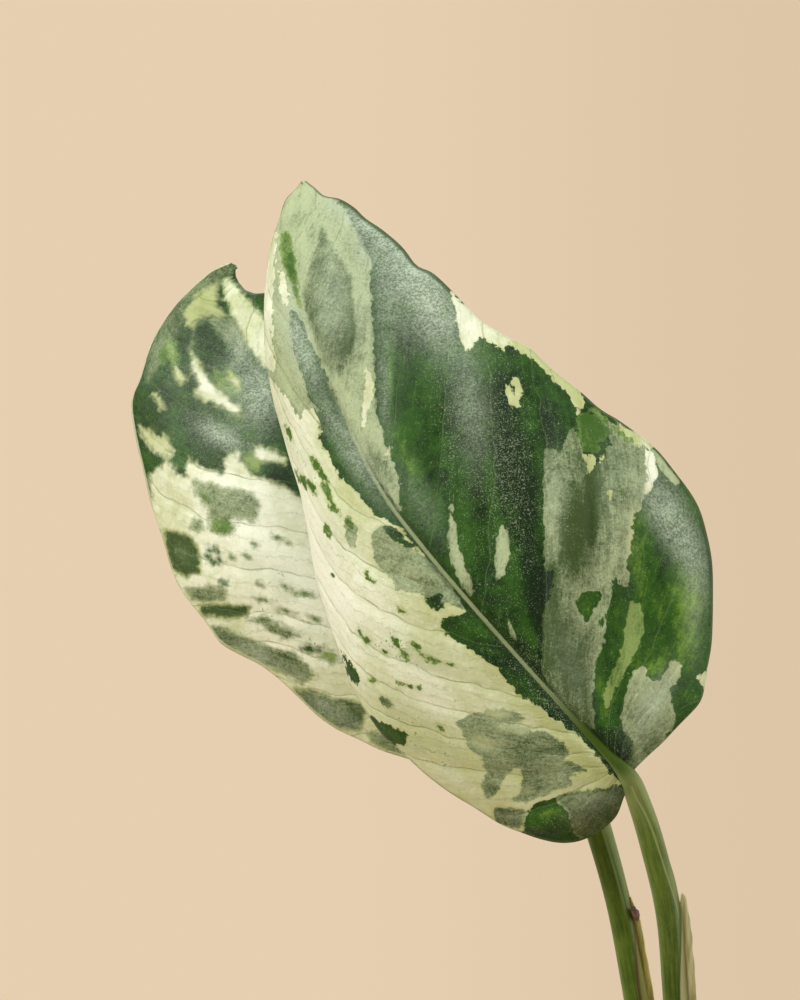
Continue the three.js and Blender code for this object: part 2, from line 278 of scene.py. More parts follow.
def make_pot():
    bm = turned(with_rings(POT_OUTLINE, POT_RING), POT_SIDES)
    sharp = [e for e in bm.edges if len(e.link_faces) == 2 and e.calc_face_angle() > 0.4]
    bmesh.ops.bevel(bm, geom=sharp, offset=POT_EDGE * MM, offset_type="OFFSET", affect="EDGES",
                    segments=3, profile=0.5, material=-1)
    for vert in bm.verts:
        radius = math.hypot(vert.co.x, vert.co.y)
        if vert.co.z < 2 * MM or radius < 20 * MM:
            continue
        angle_place = Vector((vert.co.x / radius * 1.3, vert.co.y / radius * 1.3, vert.co.z * 42))
        grown = 1 + POT_WOBBLE * MM * noise.noise(angle_place) / radius
        vert.co.x *= grown
        vert.co.y *= grown
    pot = finished_mesh("clay_pot", bm, clay_material())
    drills = bmesh.new()
    for i in range(DRAIN_HOLES):
        angle = i * math.tau / DRAIN_HOLES
        made = bmesh.ops.create_cone(drills, cap_ends=True, segments=32, radius1=DRAIN_RADIUS * MM,
                                     radius2=DRAIN_RADIUS * MM, depth=30 * MM)
        shift = Vector((math.sin(angle), math.cos(angle), 0)) * DRAIN_CIRCLE * MM
        bmesh.ops.translate(drills, verts=made["verts"], vec=shift)
    drill = finished_mesh("drain drills", drills)
    cut = pot.modifiers.new("Drain holes", "BOOLEAN")
    cut.operation = "DIFFERENCE"
    cut.object = drill
    as_shown(pot)
    bpy.data.objects.remove(drill)
    return pot


pot = make_pot()
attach(pot, "root")
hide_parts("pot")

# The soil is a loose mix for climbing aroids, filled in by hand: dark peat, chips of bark, white perlite
# and bits of charcoal. It fills the pot to a low mound that ends a little under the rim.
SOIL_EDGE_HEIGHT = 91
SOIL_MOUND = 4
SOIL_SIDES = 220
SOIL_RINGS = 56
SOIL_FOOT = 6.3
SOIL_FOOT_RADIUS = 33.2
RIM_ROUND = 1.6
WALL_GAP = 0.3
SOIL_RISE = (SOIL_EDGE_HEIGHT - POT_FLOOR) / (POT_HEIGHT - RIM_ROUND - POT_FLOOR)
SOIL_RADIUS = INNER_FOOT + SOIL_RISE * (INNER_TOP - INNER_FOOT) - WALL_GAP
CRUMB = 0.55
CHIPS = 420
STEM_FOOT = (5.0, 0.1)
STEM_ROOM = 4.5
PEAT = srgb(38, 27, 20), srgb(70, 50, 36)
BROWN_CRUMBS = srgb(104, 76, 52)
FIBRES = srgb(146, 118, 88)
BARK = srgb(58, 34, 20), srgb(134, 88, 54)
PERLITE = srgb(196, 190, 178), srgb(240, 237, 228)
CHARCOAL = srgb(20, 19, 18), srgb(52, 50, 47)


def soil_height(x, y):
    """How high the mound is at this place, lumps and crumbs included."""
    out = min(1.0, math.hypot(x, y) / SOIL_RADIUS)
    mound = SOIL_EDGE_HEIGHT + SOIL_MOUND * (1 - out * out)
    coarse = 0.9 * math.sin(x / 5.1 + 1) * math.cos(y / 4.3)
    small = 0.6 * math.sin((x + y) / 2.9) * math.cos((x - y) / 3.7 + 1)
    crumbs = noise.fractal(Vector((x * 0.55, y * 0.55, 3.0)), 0.9, 2.1, 4)
    return mound + (coarse + small + CRUMB * crumbs) * (1 - out ** 8)


def soil_material():
    made, tree, shader = new_material("Peat and bark mix", 0.95)
    place = millimetres(tree)
    blotches, speckle = grain(tree, place, 0.5)
    crumbs = node(tree, "TexVoronoi", {"Vector": place, "Scale": 1.1, "Randomness": 1.0})
    colour = blend(tree, between(tree, blotches, 0.3, 0.7), *PEAT)
    light_crumbs = between(tree, crumbs.outputs["Color"], 0.55, 0.95, 0.0, 0.6)
    colour = blend(tree, light_crumbs, colour, BROWN_CRUMBS)
    colour = blend(tree, between(tree, speckle, 0.66, 0.74, 0.0, 0.5), colour, FIBRES)
    tree.links.new(colour, shader.inputs["Base Color"])
    relief = add_up(tree, (crumbs.outputs["Distance"], -0.8), (speckle, 0.5), (blotches, 0.6))
    set_bump(tree, shader, relief, 0.9)
    return made


def chip_material(name, colours, roughness, fibre):
    made, tree, shader = new_material(name, roughness)
    place = millimetres(tree)
    blotches, speckle = grain(tree, place, 0.25)
    lines = cloud(tree, place, 0.9, detail=4.0, distortion=0.5, stretch=(1, 1, fibre))
    light = between(tree, add_up(tree, (lines, 0.7), (speckle, 0.3)), 0.35, 0.65)
    colour = blend(tree, light, *colours)
    tree.links.new(colour, shader.inputs["Base Color"])
    set_bump(tree, shader, add_up(tree, (lines, 1.0), (speckle, 0.6), (blotches, 0.2)), 0.25)
    return made


def make_soil():
    outline = [(0, SOIL_FOOT), (SOIL_FOOT_RADIUS, SOIL_FOOT)]
    for i in range(SOIL_RINGS + 1):
        out = 1 - i / SOIL_RINGS
        outline.append((SOIL_RADIUS * out, SOIL_EDGE_HEIGHT + SOIL_MOUND * (1 - out * out)))
    bm = turned(outline, SOIL_SIDES)
    for vert in bm.verts:
        if vert.co.z > (SOIL_EDGE_HEIGHT - 0.5) * MM:
            vert.co.z = soil_height(vert.co.x / MM, vert.co.y / MM) * MM
    return finished_mesh("potting_mix", bm, soil_material())


def make_chips():
    """Bark, perlite and charcoal lying on the mound, each sunk partly in."""
    rng = np.random.default_rng(7)
    bm = bmesh.new()
    for _ in range(CHIPS):
        kind = rng.choice(3, p=(0.55, 0.33, 0.12))
        size = (rng.uniform(1.6, 4.6), rng.uniform(0.9, 2.0), rng.uniform(0.9, 2.2))[kind]
        flat = ((1, 0.55, 0.22), (1, 0.85, 0.8), (1, 0.8, 0.6))[kind]
        out = (SOIL_RADIUS - 0.75 * size - 0.6) * math.sqrt(rng.uniform(0, 1))
        angle = rng.uniform(0, math.tau)
        x, y = out * math.cos(angle), out * math.sin(angle)
        turn, tip, roll = rng.uniform(0, math.tau), rng.uniform(-0.5, 0.5), rng.uniform(-0.5, 0.5)
        if math.dist((x, y), STEM_FOOT) < STEM_ROOM + 0.7 * size:
            continue
        made = bmesh.ops.create_icosphere(bm, subdivisions=1, radius=0.5)
        for vert in made["verts"]:
            vert.co = Vector([c * s * (1 + rng.uniform(-0.28, 0.28)) for c, s in zip(vert.co, flat)]) * size
            for face in vert.link_faces:
                face.material_index = int(kind)
        for axis, angle in (("X", tip), ("Y", roll), ("Z", turn)):
            turning = Matrix.Rotation(angle, 3, axis)
            bmesh.ops.rotate(bm, verts=made["verts"], cent=(0, 0, 0), matrix=turning)
        bmesh.ops.translate(bm, verts=made["verts"], vec=(x, y, soil_height(x, y) + 0.08 * size))
    bmesh.ops.scale(bm, verts=bm.verts, vec=(MM, MM, MM))
    bmesh.ops.recalc_face_normals(bm, faces=bm.faces)
    bark = chip_material("Pine bark", BARK, 0.85, 6)
    perlite = chip_material("White perlite", PERLITE, 0.8, 1)
    charcoal = chip_material("Charcoal", CHARCOAL, 0.55, 3)
    chips = finished_mesh("soil_chips", bm, bark, perlite, charcoal)
    for face in chips.data.polygons:
        face.use_smooth = False
    return chips


soil = make_soil()
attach(soil, "root")
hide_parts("soil")
chips = make_chips()
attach(chips, "root")

# The stem is short, green and fleshy. Each old leaf's foot has left a ring on it, and two stubs of aerial
# root stand out under the rings. Its lower half is in the soil, and its tip is the next leaf's pointed bud.
STEM_AXIS = [
    (4.6, 0.4, 60, 3.1), (4.9, 0.3, 82, 3.1), (5.0, 0.0, 97, 3.2), (5.4, -0.3, 109, 3.2),
    (4.9, 0.2, 122, 2.9), (5.3, 0.3, 130, 1.9), (6.2, 0.2, 138, 0.6),
]
STEM_RINGS = [103, 115, 126]
STEM_SWELL = 0.45
STEM_SWELL_WIDTH = 1.3
STEM_GROOVE = 0.25
STEM_GROOVE_ABOVE = 1.1
STEM_GROOVE_WIDTH = 0.35
STEM_GREENS = srgb(66, 82, 30), srgb(104, 118, 58)
STEM_BROWN = srgb(112, 96, 56)
RING_SCAR = srgb(120, 92, 58)
PALE_SPECKS = srgb(176, 176, 132)
STEM_STEPS = 170
STEM_SIDES = 32
STUB_STEPS = 20
STUB_SIDES = 14
ROOT_STUBS = [
    [(6.5, 0.0, 102, 1.0), (9.4, -0.6, 100.8, 0.9), (11.6, -1.2, 98.9, 0.5)],
    [(5.6, 1.6, 114, 0.9), (6.3, 4.6, 112.6, 0.8), (6.9, 6.2, 110.8, 0.45)],
]


def curve_at(points, share):
    """Places on the smooth curve through these points, at the given shares of its way."""
    points = np.asarray(points, dtype=float)
    ends = (2 * points[0] - points[1], 2 * points[-1] - points[-2])
    held = np.vstack([ends[0], points, ends[1]])
    way = np.clip(share, 0, 1) * (len(points) - 1)
    stretch = np.minimum(way.astype(int), len(points) - 2)
    part = (way - stretch)[..., None]
    before, here, there, after = (held[stretch + i] for i in range(4))
    bend = 2 * before - 5 * here + 4 * there - after
    turn = 3 * here - 3 * there + after - before
    return 0.5 * (2 * here + (there - before) * part + bend * part ** 2 + turn * part ** 3)


def smooth(low, high, value):
    part = np.clip((value - low) / (high - low), 0, 1)
    return part * part * (3 - 2 * part)


def unit(vectors):
    return vectors / np.maximum(np.linalg.norm(vectors, axis=-1, keepdims=True), 1e-9)


def add_stalk(bm, centres, radii, sides, start=0.0, end=1.0, swell=None):
    """Adds a closed round stalk with these centres and radii. Its place runs from start to end along it,
    its turn is the angle round it from the viewer's side, and swell may change its radius with both."""
    layers = bm.verts.layers.float
    for key in ("place", "turn"):
        if layers.get(key) is None:
            layers.new(key)
    place_of, turn_of = layers["place"], layers["turn"]
    way = unit(np.gradient(centres, axis=0))
    viewer = np.array([0.0, -1.0, 0.0])
    front = unit(viewer - (way @ viewer)[:, None] * way)
    side = np.cross(front, way)
    length = np.concatenate([[0], np.cumsum(np.linalg.norm(np.diff(centres, axis=0), axis=1))])
    to_end = np.minimum(length, length[-1] - length)
    closing = np.clip(to_end / np.maximum(0.9 * radii, 1e-6), 0, 1)
    rounded = radii * np.sqrt(1 - (1 - closing) ** 2)
    rows = len(centres) - 1
    made = bmesh.ops.create_grid(bm, x_segments=sides, y_segments=rows, size=1)
    for vert in made["verts"]:
        row = round((vert.co.y + 1) / 2 * rows)
        turn = vert.co.x * math.pi
        place = start + (end - start) * row / rows
        radius = rounded[row] * (swell(place, turn) if swell else 1)
        vert.co = centres[row] + radius * (math.cos(turn) * front[row] + math.sin(turn) * side[row])
        vert[place_of] = place
        vert[turn_of] = turn
    bmesh.ops.remove_doubles(bm, verts=made["verts"], dist=1e-4)


def stem_material():
    made, tree, shader = new_material("Green stem")
    place = millimetres(tree)
    height = node(tree, "SeparateXYZ", {0: place}).outputs[2]
    blotches, speckle = grain(tree, place, 0.22)
    lines = cloud(tree, place, 0.7, detail=3.0, stretch=(1, 1, 0.12))
    colour = blend(tree, between(tree, lines, 0.3, 0.7), *STEM_GREENS)
    low = between(tree, add_up(tree, (height, 1.0), (blotches, 10.0)), 122.0, 104.0)
    colour = tinted(tree, colour, low, 0.7, STEM_BROWN)
    for ring in STEM_RINGS:
        off = calc(tree, "ABSOLUTE", calc(tree, "SUBTRACT", height, float(ring)))
        scar = between(tree, add_up(tree, (off, 1.0), (speckle, 0.5)), 1.0, 0.55)
        colour = tinted(tree, colour, scar, 0.65, RING_SCAR)
    colour = blend(tree, between(tree, speckle, 0.7, 0.78, 0.0, 0.5), colour, PALE_SPECKS)
    tree.links.new(colour, shader.inputs["Base Color"])
    set_bump(tree, shader, add_up(tree, (lines, 1.0), (speckle, 0.4)), 0.15)
    return made


def make_stem():
    bm = bmesh.new()
    along = np.linspace(0, 1, STEM_STEPS)
    axis = curve_at(STEM_AXIS, along)
    off_ring = axis[:, 2, None] - np.array(STEM_RINGS)
    radii = axis[:, 3] + STEM_SWELL * np.exp(-(off_ring / STEM_SWELL_WIDTH) ** 2).sum(axis=1)
    off_groove = off_ring - STEM_GROOVE_ABOVE
    radii -= STEM_GROOVE * np.exp(-(off_groove / STEM_GROOVE_WIDTH) ** 2).sum(axis=1)
    add_stalk(bm, axis[:, :3], radii, STEM_SIDES)
    for stub in ROOT_STUBS:
        way = curve_at(stub, np.linspace(0, 1, STUB_STEPS))
        add_stalk(bm, way[:, :3], way[:, 3], STUB_SIDES)
    bmesh.ops.recalc_face_normals(bm, faces=bm.faces)
    bmesh.ops.scale(bm, verts=bm.verts, vec=(MM, MM, MM))
    return finished_mesh("plant_stem", bm, stem_material())


stem = make_stem()
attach(stem, "root")
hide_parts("stem")

# The front leaf grew as one piece: a thin satin blade, marbled cream, grey and green, on a smooth petiole
# that runs on as the midrib. The blade bulges between its sunken veins, and a papery sheath that once held
# the next leaf stands off the petiole's foot.
BLADE_COLUMNS = 148
BLADE_ROWS = 276
BLADE_THICKNESS = 0.6
THIN_MARGIN = 3.0
QUILT = 0.35
MINOR_QUILT = 0.16
# The groove over the midrib, deep and half wide, and its shoulders, high, away from it and half wide
RIB_GROOVE = (0.5, 0.75)
RIB_SHOULDER = (0.35, 2.3, 1.5)
# Slow waves, high and long
WAVES = (0.45, 11.0)
# How many pixels the margin may be moved to meet the picture's
MARGIN_FIT = 9
STALK_SIDES = 24
STALK_STEPS = 300
RIDGE_HEIGHT = 0.1
FURROW_DEPTH = 0.05
SHEATH_COLUMNS = 10
SHEATH_ROWS = 120
SHEATH_THICKNESS = 0.35
SHEATH_CURL = 0.5
FRONT_LEAF = {
    "rib": [
        (-9.7, -8, 189.9), (-13.9, -8.5, 194.5), (-19.5, -8.5, 200.5), (-26.3, -7.5, 208),
        (-33.4, -6, 216), (-39.9, -3.5, 223.7), (-45.9, 0, 231.6), (-51, 4.5, 241), (-55.7, 9.5, 251.7),
        (-58.5, 15, 261.6), (-59.5, 19.5, 269.5), (-59.3, 23.5, 275.7), (-58.6, 27, 280.4),
    ],
    "right": [
        (-8.5, -8, 191.3), (-0.3, -5.5, 199.3), (3.1, -1.5, 209.7), (2.5, 1.5, 226.5), (-4.2, 3, 237.8),
        (-13.3, 4.5, 244.7), (-23, 7, 253), (-31.9, 10.5, 259), (-39.5, 14.5, 266.2), (-45.7, 19, 272.1),
        (-50.9, 22.5, 276.5), (-55.6, 25, 278.7), (-58, 27, 280.9),
    ],
    "left": [
        (-9.7, -8, 188.1), (-13.6, -5.5, 181.7), (-23.6, -2.5, 180.6), (-34.9, 1.5, 186.1),
        (-45.2, 5, 194.4), (-52, 8.5, 205.2), (-56, 12, 217.3), (-59, 16, 231), (-62.2, 20, 243),
        (-64.3, 24, 253.5), (-64.5, 26.5, 262.4), (-62.7, 27.5, 273.4), (-59.1, 27, 280.8),
    ],
    # How far the left and right halves bulge, by their width, and how pale the left margin is
    "belly": (0.15, 0.09),
    "left_margin": 0.1,
    "seed": 11.0,
    # The petiole's middle line and radius, from the stem up, and its foot in the stem
    "stalk": [
        (1.9, -2.7, 108, 2.5), (1.0, -3.7, 118, 2.4), (-0.5, -5.4, 131, 2.1), (-1.95, -7, 145, 1.85),
        (-2.8, -8.1, 158.5, 1.82), (-3.8, -8.4, 170, 1.85), (-6.1, -7.6, 180, 1.85),
        (-8.2, -7.4, 186.6, 1.7),
    ],
    "foot": [(4.9, -0.5, 99.5, 1.6), (3.9, -1.5, 102.3, 2.5)],
    "sheath": {
        "top": 0.722, "width": 3.1, "foot_width": 5.4, "top_way": (1, -0.1, 0), "foot_way": (1, -0.3, 0),
        "lift": 0.035, "taper": 0.15,
    },
    # Where each vein leaves the midrib and where it reaches the margin, in twelfths of the blade
    "veins_right": [
        (0, 0), (0.1, 1.3), (0.3, 2.4), (0.45, 3.3), (0.7, 4.2), (1.25, 5.0), (2.45, 6.1), (3.7, 6.9),
        (4.9, 7.6), (6.0, 8.4), (7.2, 9.3), (8.6, 10.2), (10.2, 11.2), (12, 12),
    ],
    "veins_left": [
        (0, 0), (0.05, 1.3), (0.1, 2.6), (0.2, 3.8), (0.5, 4.8), (1.2, 5.6), (2.0, 6.35), (3.05, 7.4),
        (4.1, 8.2), (5.3, 9.0), (6.6, 9.9), (8.2, 10.8), (10, 11.5), (12, 12),
    ],
    # The margins as the picture shows them, in its pixels, from the base to the tip
    "seen_right": [
        (636, 768), (645, 757), (660, 745), (680, 724), (700, 703), (704, 690), (708, 665), (712, 640),
        (713, 590), (712, 560), (707, 535), (700, 510), (690, 492), (675, 472), (655, 448), (620, 421),
        (600, 409), (580, 391), (560, 376), (545, 363), (530, 348), (515, 341), (500, 333), (480, 320),
        (458, 297), (440, 279), (430, 271), (418, 267), (412, 260), (405, 250), (395, 240), (380, 228),
        (365, 218), (355, 208), (340, 199), (325, 196), (318, 191), (311, 185), (305, 180),
    ],
    "seen_left": [
        (628, 789), (622, 805), (615, 818), (600, 831), (580, 841), (560, 843), (540, 839), (520, 832),
        (500, 824), (475, 808), (450, 793), (430, 778), (415, 765), (400, 750), (385, 738), (370, 718),
        (353, 690), (345, 668), (338, 648), (326, 615), (316, 580), (309, 540), (302, 500), (290, 460),
        (279, 422), (273, 400), (266, 360), (264, 310), (265, 290), (268, 260), (272, 240), (279, 220),
        (286, 200), (295, 190), (300, 184), (305, 180),
    ],
}
# How thick the midrib is and how far it lies behind the blade, by its share of the blade's length
MIDRIB = [
    (0.0, 1.5, 0.35), (0.03, 1.3, 0.45), (0.07, 1.1, 0.6), (0.12, 0.92, 0.9), (0.2, 0.78, 1.2),
    (0.3, 0.7, 1.25), (0.5, 0.65, 1.25), (0.7, 0.65, 1.15), (0.9, 0.5, 0.95), (1.0, 0.3, 0.8),
]
MIDRIB_REACH = 0.94
# The petiole's pale ridge: its height up the plant and its angle round the petiole
FRONT_LEAF["ridge"] = [
    (110, -78), (150, -78), (166, -75), (171, -50), (173, -40), (176, -28), (181, -20), (184.5, -9),
    (187, 10),
]

# The front leaf's marks in the order in which they cover each other, each a colour, a tone from dark to
# light and an outline in the picture's pixels. What no mark covers is green.
FRONT_LEAF["marks"] = [
    ("grey", 0.7, [
        (298, 170), (312, 183), (330, 193), (345, 212), (358, 236), (371, 262), (369, 280), (371, 300),
        (372, 326), (373, 361), (375, 402), (374, 413), (382, 429), (385, 446), (390, 459), (396, 469),
        (400, 488), (399, 502), (403, 513), (385, 490), (362, 455), (345, 420), (335, 395), (325, 410),
        (312, 408), (303, 412), (300, 418), (285, 395), (271, 380), (256, 370), (250, 300), (258, 240),
        (275, 190),
    ]),
    ("cream", 0.4, [
        (258, 362), (271, 380), (285, 395), (300, 418), (303, 410), (312, 408), (320, 418), (320, 440),
        (335, 465), (340, 480), (352, 487), (372, 512), (385, 520), (400, 527), (420, 550), (440, 575),
        (458, 598), (466, 612), (459, 617), (444, 617), (441, 622), (442, 631), (451, 638), (462, 644),
        (481, 657), (501, 670), (503, 677), (518, 694), (538, 706), (549, 716), (560, 722), (580, 738),
        (600, 759), (614, 776), (626, 786), (640, 800), (620, 840), (560, 860), (500, 845), (440, 805),
        (400, 775), (360, 730), (335, 690), (320, 650), (300, 590), (285, 500), (265, 430),
    ]),
    ("green", 0.0, [
        (291, 308), (300, 318), (309, 338), (318, 357), (332, 390), (346, 425), (362, 460), (388, 500),
        (406, 526), (395, 524), (385, 518), (372, 510), (352, 485), (340, 478), (335, 463), (322, 440),
        (322, 418), (316, 408), (309, 400), (304, 380), (296, 360), (290, 335),
    ]),
    ("grey", -0.45, [
        (321, 224), (327, 236), (343, 265), (352, 276), (353, 301), (355, 335), (350, 358), (341, 374),
        (330, 374), (321, 358), (311, 326), (304, 304), (303, 286), (311, 261), (318, 243), (319, 233),
    ]),
    ("lime", -0.45, [
        (286, 231), (292, 240), (295, 265), (298, 290), (301, 306), (297, 304), (291, 279), (284, 265),
        (280, 251), (282, 236),
    ]),
    ("grey", 0.8, [
        (270, 240), (277, 240), (273, 262), (271, 290), (271, 320), (273, 345), (276, 370), (268, 372),
        (255, 340), (255, 290),
    ]),
    ("cream", 0.35, [
        (271, 232), (277, 232), (274, 262), (273, 300), (273, 340), (276, 368), (270, 372), (255, 340),
        (255, 250),
    ]),
    ("cream", 0.5, [(279, 270), (284, 272), (288, 290), (289, 305), (286, 310), (283, 300), (280, 285)]),
    ("cream", 0.6, [
        (366, 369), (372, 372), (373, 388), (372, 398), (368, 412), (364, 428), (361, 424), (363, 405),
        (365, 385),
    ]),
    ("cream", 0.3, [(385, 458), (387, 446), (390, 443), (392, 447), (391, 453), (388, 460), (385, 464)]),
    ("cream", 0.7, [
        (452, 292), (462, 300), (480, 316), (500, 329), (520, 338), (516, 346), (509, 344), (505, 349),
        (496, 345), (489, 342), (484, 337), (479, 337), (473, 345), (466, 352), (462, 346), (459, 333),
        (455, 319),
    ]),
    ("cream", 0.1, [
        (515, 336), (530, 342), (548, 358), (565, 372), (580, 386), (592, 398), (585, 404), (579, 410),
        (572, 402), (566, 393), (559, 385), (550, 375), (537, 362), (522, 352), (512, 346),
    ]),
    ("green", 0.2, [(581, 392), (590, 398), (600, 408), (594, 410), (588, 404)]),
    ("lime", 0.5, [(591, 409), (598, 412), (606, 421), (612, 432), (607, 430), (598, 420)]),
    ("cream", 0.7, [(573, 402), (578, 406), (580, 412), (577, 414), (574, 409)]),
    ("grey", 0.1, [
        (604, 420), (617, 424), (632, 432), (645, 446), (648, 470), (645, 497), (640, 488), (629, 469),
        (620, 456), (612, 446), (608, 435),
    ]),
    ("cream", 0.3, [(629, 430), (640, 433), (650, 441), (655, 449), (646, 446), (636, 441)]),
    ("grey", 0.9, [
        (652, 448), (661, 458), (672, 470), (680, 482), (676, 484), (668, 480), (661, 470), (656, 460),
    ]),
    ("cream", 0.8, [
        (645, 449), (651, 449), (655, 459), (658, 474), (654, 483), (648, 493), (644, 496), (647, 481),
        (645, 467),
    ]),
    ("cream", 0.2, [
        (503, 382), (509, 384), (512, 378), (519, 380), (523, 390), (520, 402), (517, 408), (509, 404),
        (505, 395),
    ]),
    ("green", 0.2, [(513, 385), (515, 390), (514, 396), (512, 391)]),
    ("grey", 0.6, [
        (453, 496), (452, 515), (456, 531), (459, 553), (464, 569), (472, 582), (472, 597), (462, 585),
        (453, 564), (448, 545), (449, 529), (450, 512),
    ]),
    ("grey", 0.9, [(502, 521), (508, 536), (509, 553), (503, 577), (497, 579), (495, 563), (496, 548)]),
    ("grey", 0.7, [(507, 614), (509, 618), (514, 633), (516, 640), (512, 636), (508, 627)]),
    ("grey", 0.0, [
        (544, 452), (549, 450), (554, 449), (560, 453), (565, 448), (567, 441), (571, 431), (575, 429),
        (578, 437), (582, 447), (585, 461), (588, 473), (593, 470), (597, 465), (603, 464), (606, 452),
        (608, 444), (612, 446), (620, 456), (629, 469), (641, 488), (644, 496), (642, 506), (634, 514),
        (632, 525), (630, 548), (628, 562), (627, 585), (622, 585), (621, 579), (612, 580), (610, 598),
        (607, 616), (601, 650), (594, 668), (592, 696), (594, 727), (588, 725), (577, 721), (560, 703),
        (549, 687), (542, 664), (543, 631), (545, 607), (551, 598), (556, 576), (553, 570), (546, 569),
        (545, 538), (544, 500),
    ]),
    # Two dark grey strips: painted shade in the valley of a fold
    ("grey", -0.8, [
        (587, 475), (596, 472), (599, 500), (597, 535), (591, 548), (587, 538), (586, 520), (586, 495),
    ]),
    ("grey", -0.6, [(564, 508), (575, 498), (584, 510), (583, 545), (573, 562), (558, 566), (560, 535)]),
    ("grey", 0.55, [(606, 480), (612, 495), (614, 512), (611, 515), (606, 500), (603, 488)]),
    ("cream", 0.2, [
        (583, 455), (588, 456), (595, 456), (596, 461), (592, 471), (588, 472), (584, 461),
    ]),
    ("cream", 0.2, [(598, 458), (604, 456), (603, 462), (599, 464)]),
    ("lime", -0.55, [
        (577, 413), (588, 412), (601, 421), (608, 431), (609, 437), (601, 440), (597, 452), (584, 452),
        (579, 432),
    ]),
    ("green", 0.5, [(577, 601), (586, 590), (601, 592), (600, 603), (588, 622), (579, 612)]),
    ("green", 0.3, [(600, 616), (605, 616), (604, 629), (600, 627)]),
    ("lime", 0.05, [
        (632, 604), (639, 604), (643, 618), (641, 638), (634, 655), (626, 668), (617, 685), (611, 697),
        (606, 708), (604, 700), (608, 684), (615, 668), (621, 652), (625, 632),
    ]),
    ("green", 0.7, [
        (645, 650), (652, 640), (660, 630), (668, 645), (672, 655), (664, 668), (658, 682), (648, 685),
        (645, 668),
    ]),
    ("grey", 0.2, [
        (632, 677), (639, 668), (645, 668), (646, 679), (655, 681), (660, 681), (667, 668), (677, 659),
        (682, 663), (679, 677), (669, 690), (671, 703), (677, 707), (675, 722), (662, 742), (643, 760),
        (630, 772), (626, 766), (634, 745), (624, 728), (620, 718), (625, 700),
    ]),
    ("green", 0.1, [
        (671, 703), (679, 692), (688, 683), (699, 682), (708, 690), (708, 700), (692, 716), (678, 724),
        (675, 719), (676, 708),
    ]),
    ("cream", 0.2, [(696, 677), (702, 673), (714, 660), (714, 688), (703, 690), (699, 684)]),
    ("grey", 0.15, [
        (373, 531), (382, 527), (392, 540), (412, 550), (420, 553), (440, 572), (458, 598), (466, 612),
        (455, 606), (440, 600), (427, 597), (410, 592), (395, 591), (392, 580), (383, 571), (374, 558),
        (372, 545),
    ]),
    ("green", -0.1, [
        (382, 527), (389, 525), (395, 528), (414, 545), (412, 548), (403, 546), (394, 541), (386, 534),
    ]),
    ("green", 0.0, [
        (427, 595), (432, 596), (441, 594), (443, 600), (440, 606), (446, 608), (438, 611), (430, 608),
        (425, 601),
    ]),
    ("grey", 0.3, [(345, 515), (352, 518), (358, 530), (357, 548), (350, 550), (346, 536)]),
    ("grey", -0.1, [
        (455, 722), (462, 718), (473, 714), (494, 709), (516, 711), (527, 718), (518, 722), (501, 724),
        (499, 729), (527, 732), (544, 731), (555, 737), (566, 746), (570, 749), (565, 759), (585, 770),
        (570, 777), (572, 786), (555, 792), (527, 801), (512, 801), (520, 794), (521, 768), (505, 774),
        (499, 789), (492, 798), (484, 796), (479, 783), (488, 774), (479, 757), (470, 750), (464, 735),
        (460, 727),
    ]),
    ("grey", 0.7, [(499, 724), (516, 722), (531, 728), (529, 734), (508, 733), (500, 730)]),
    ("green", 0.15, [
        (524, 822), (527, 811), (536, 803), (548, 799), (558, 797), (566, 793), (580, 790), (600, 788),
        (625, 784), (640, 800), (620, 835), (595, 855), (560, 860), (520, 845),
    ]),
    ("grey", -0.8, [
        (557, 799), (572, 792), (600, 788), (618, 787), (626, 790), (622, 806), (612, 821), (598, 833),
        (580, 838), (572, 826), (570, 812), (564, 806),
    ]),
    ("grey", -0.3, [(560, 799), (575, 793), (598, 789), (607, 793), (590, 804), (574, 810), (566, 805)]),
    ("grey", -0.4, [(492, 809), (499, 807), (522, 809), (527, 813), (524, 826), (514, 829), (496, 821)]),
    ("green", 0.0, [
        (339, 648), (346, 656), (356, 669), (361, 677), (359, 686), (351, 680), (343, 666),
    ]),
    ("green", 0.0, [
        (362, 716), (375, 718), (386, 724), (403, 732), (407, 739), (403, 746), (392, 745), (379, 736),
        (366, 728),
    ]),
    ("cream", 0.9, [
        (325, 617), (333, 616), (339, 643), (349, 678), (357, 702), (368, 723), (381, 738), (397, 748),
        (411, 757), (400, 765), (376, 752), (345, 710), (330, 660),
    ]),
    ("lime", 0.3, [(612, 424), (622, 430), (634, 440), (628, 443), (616, 434)]),
    ("cream", 0.0, [(620, 424), (634, 433), (645, 444), (640, 446), (628, 438), (620, 431)]),
    ("cream", -0.4, [(606, 488), (612, 490), (613, 503), (608, 500)]),
]
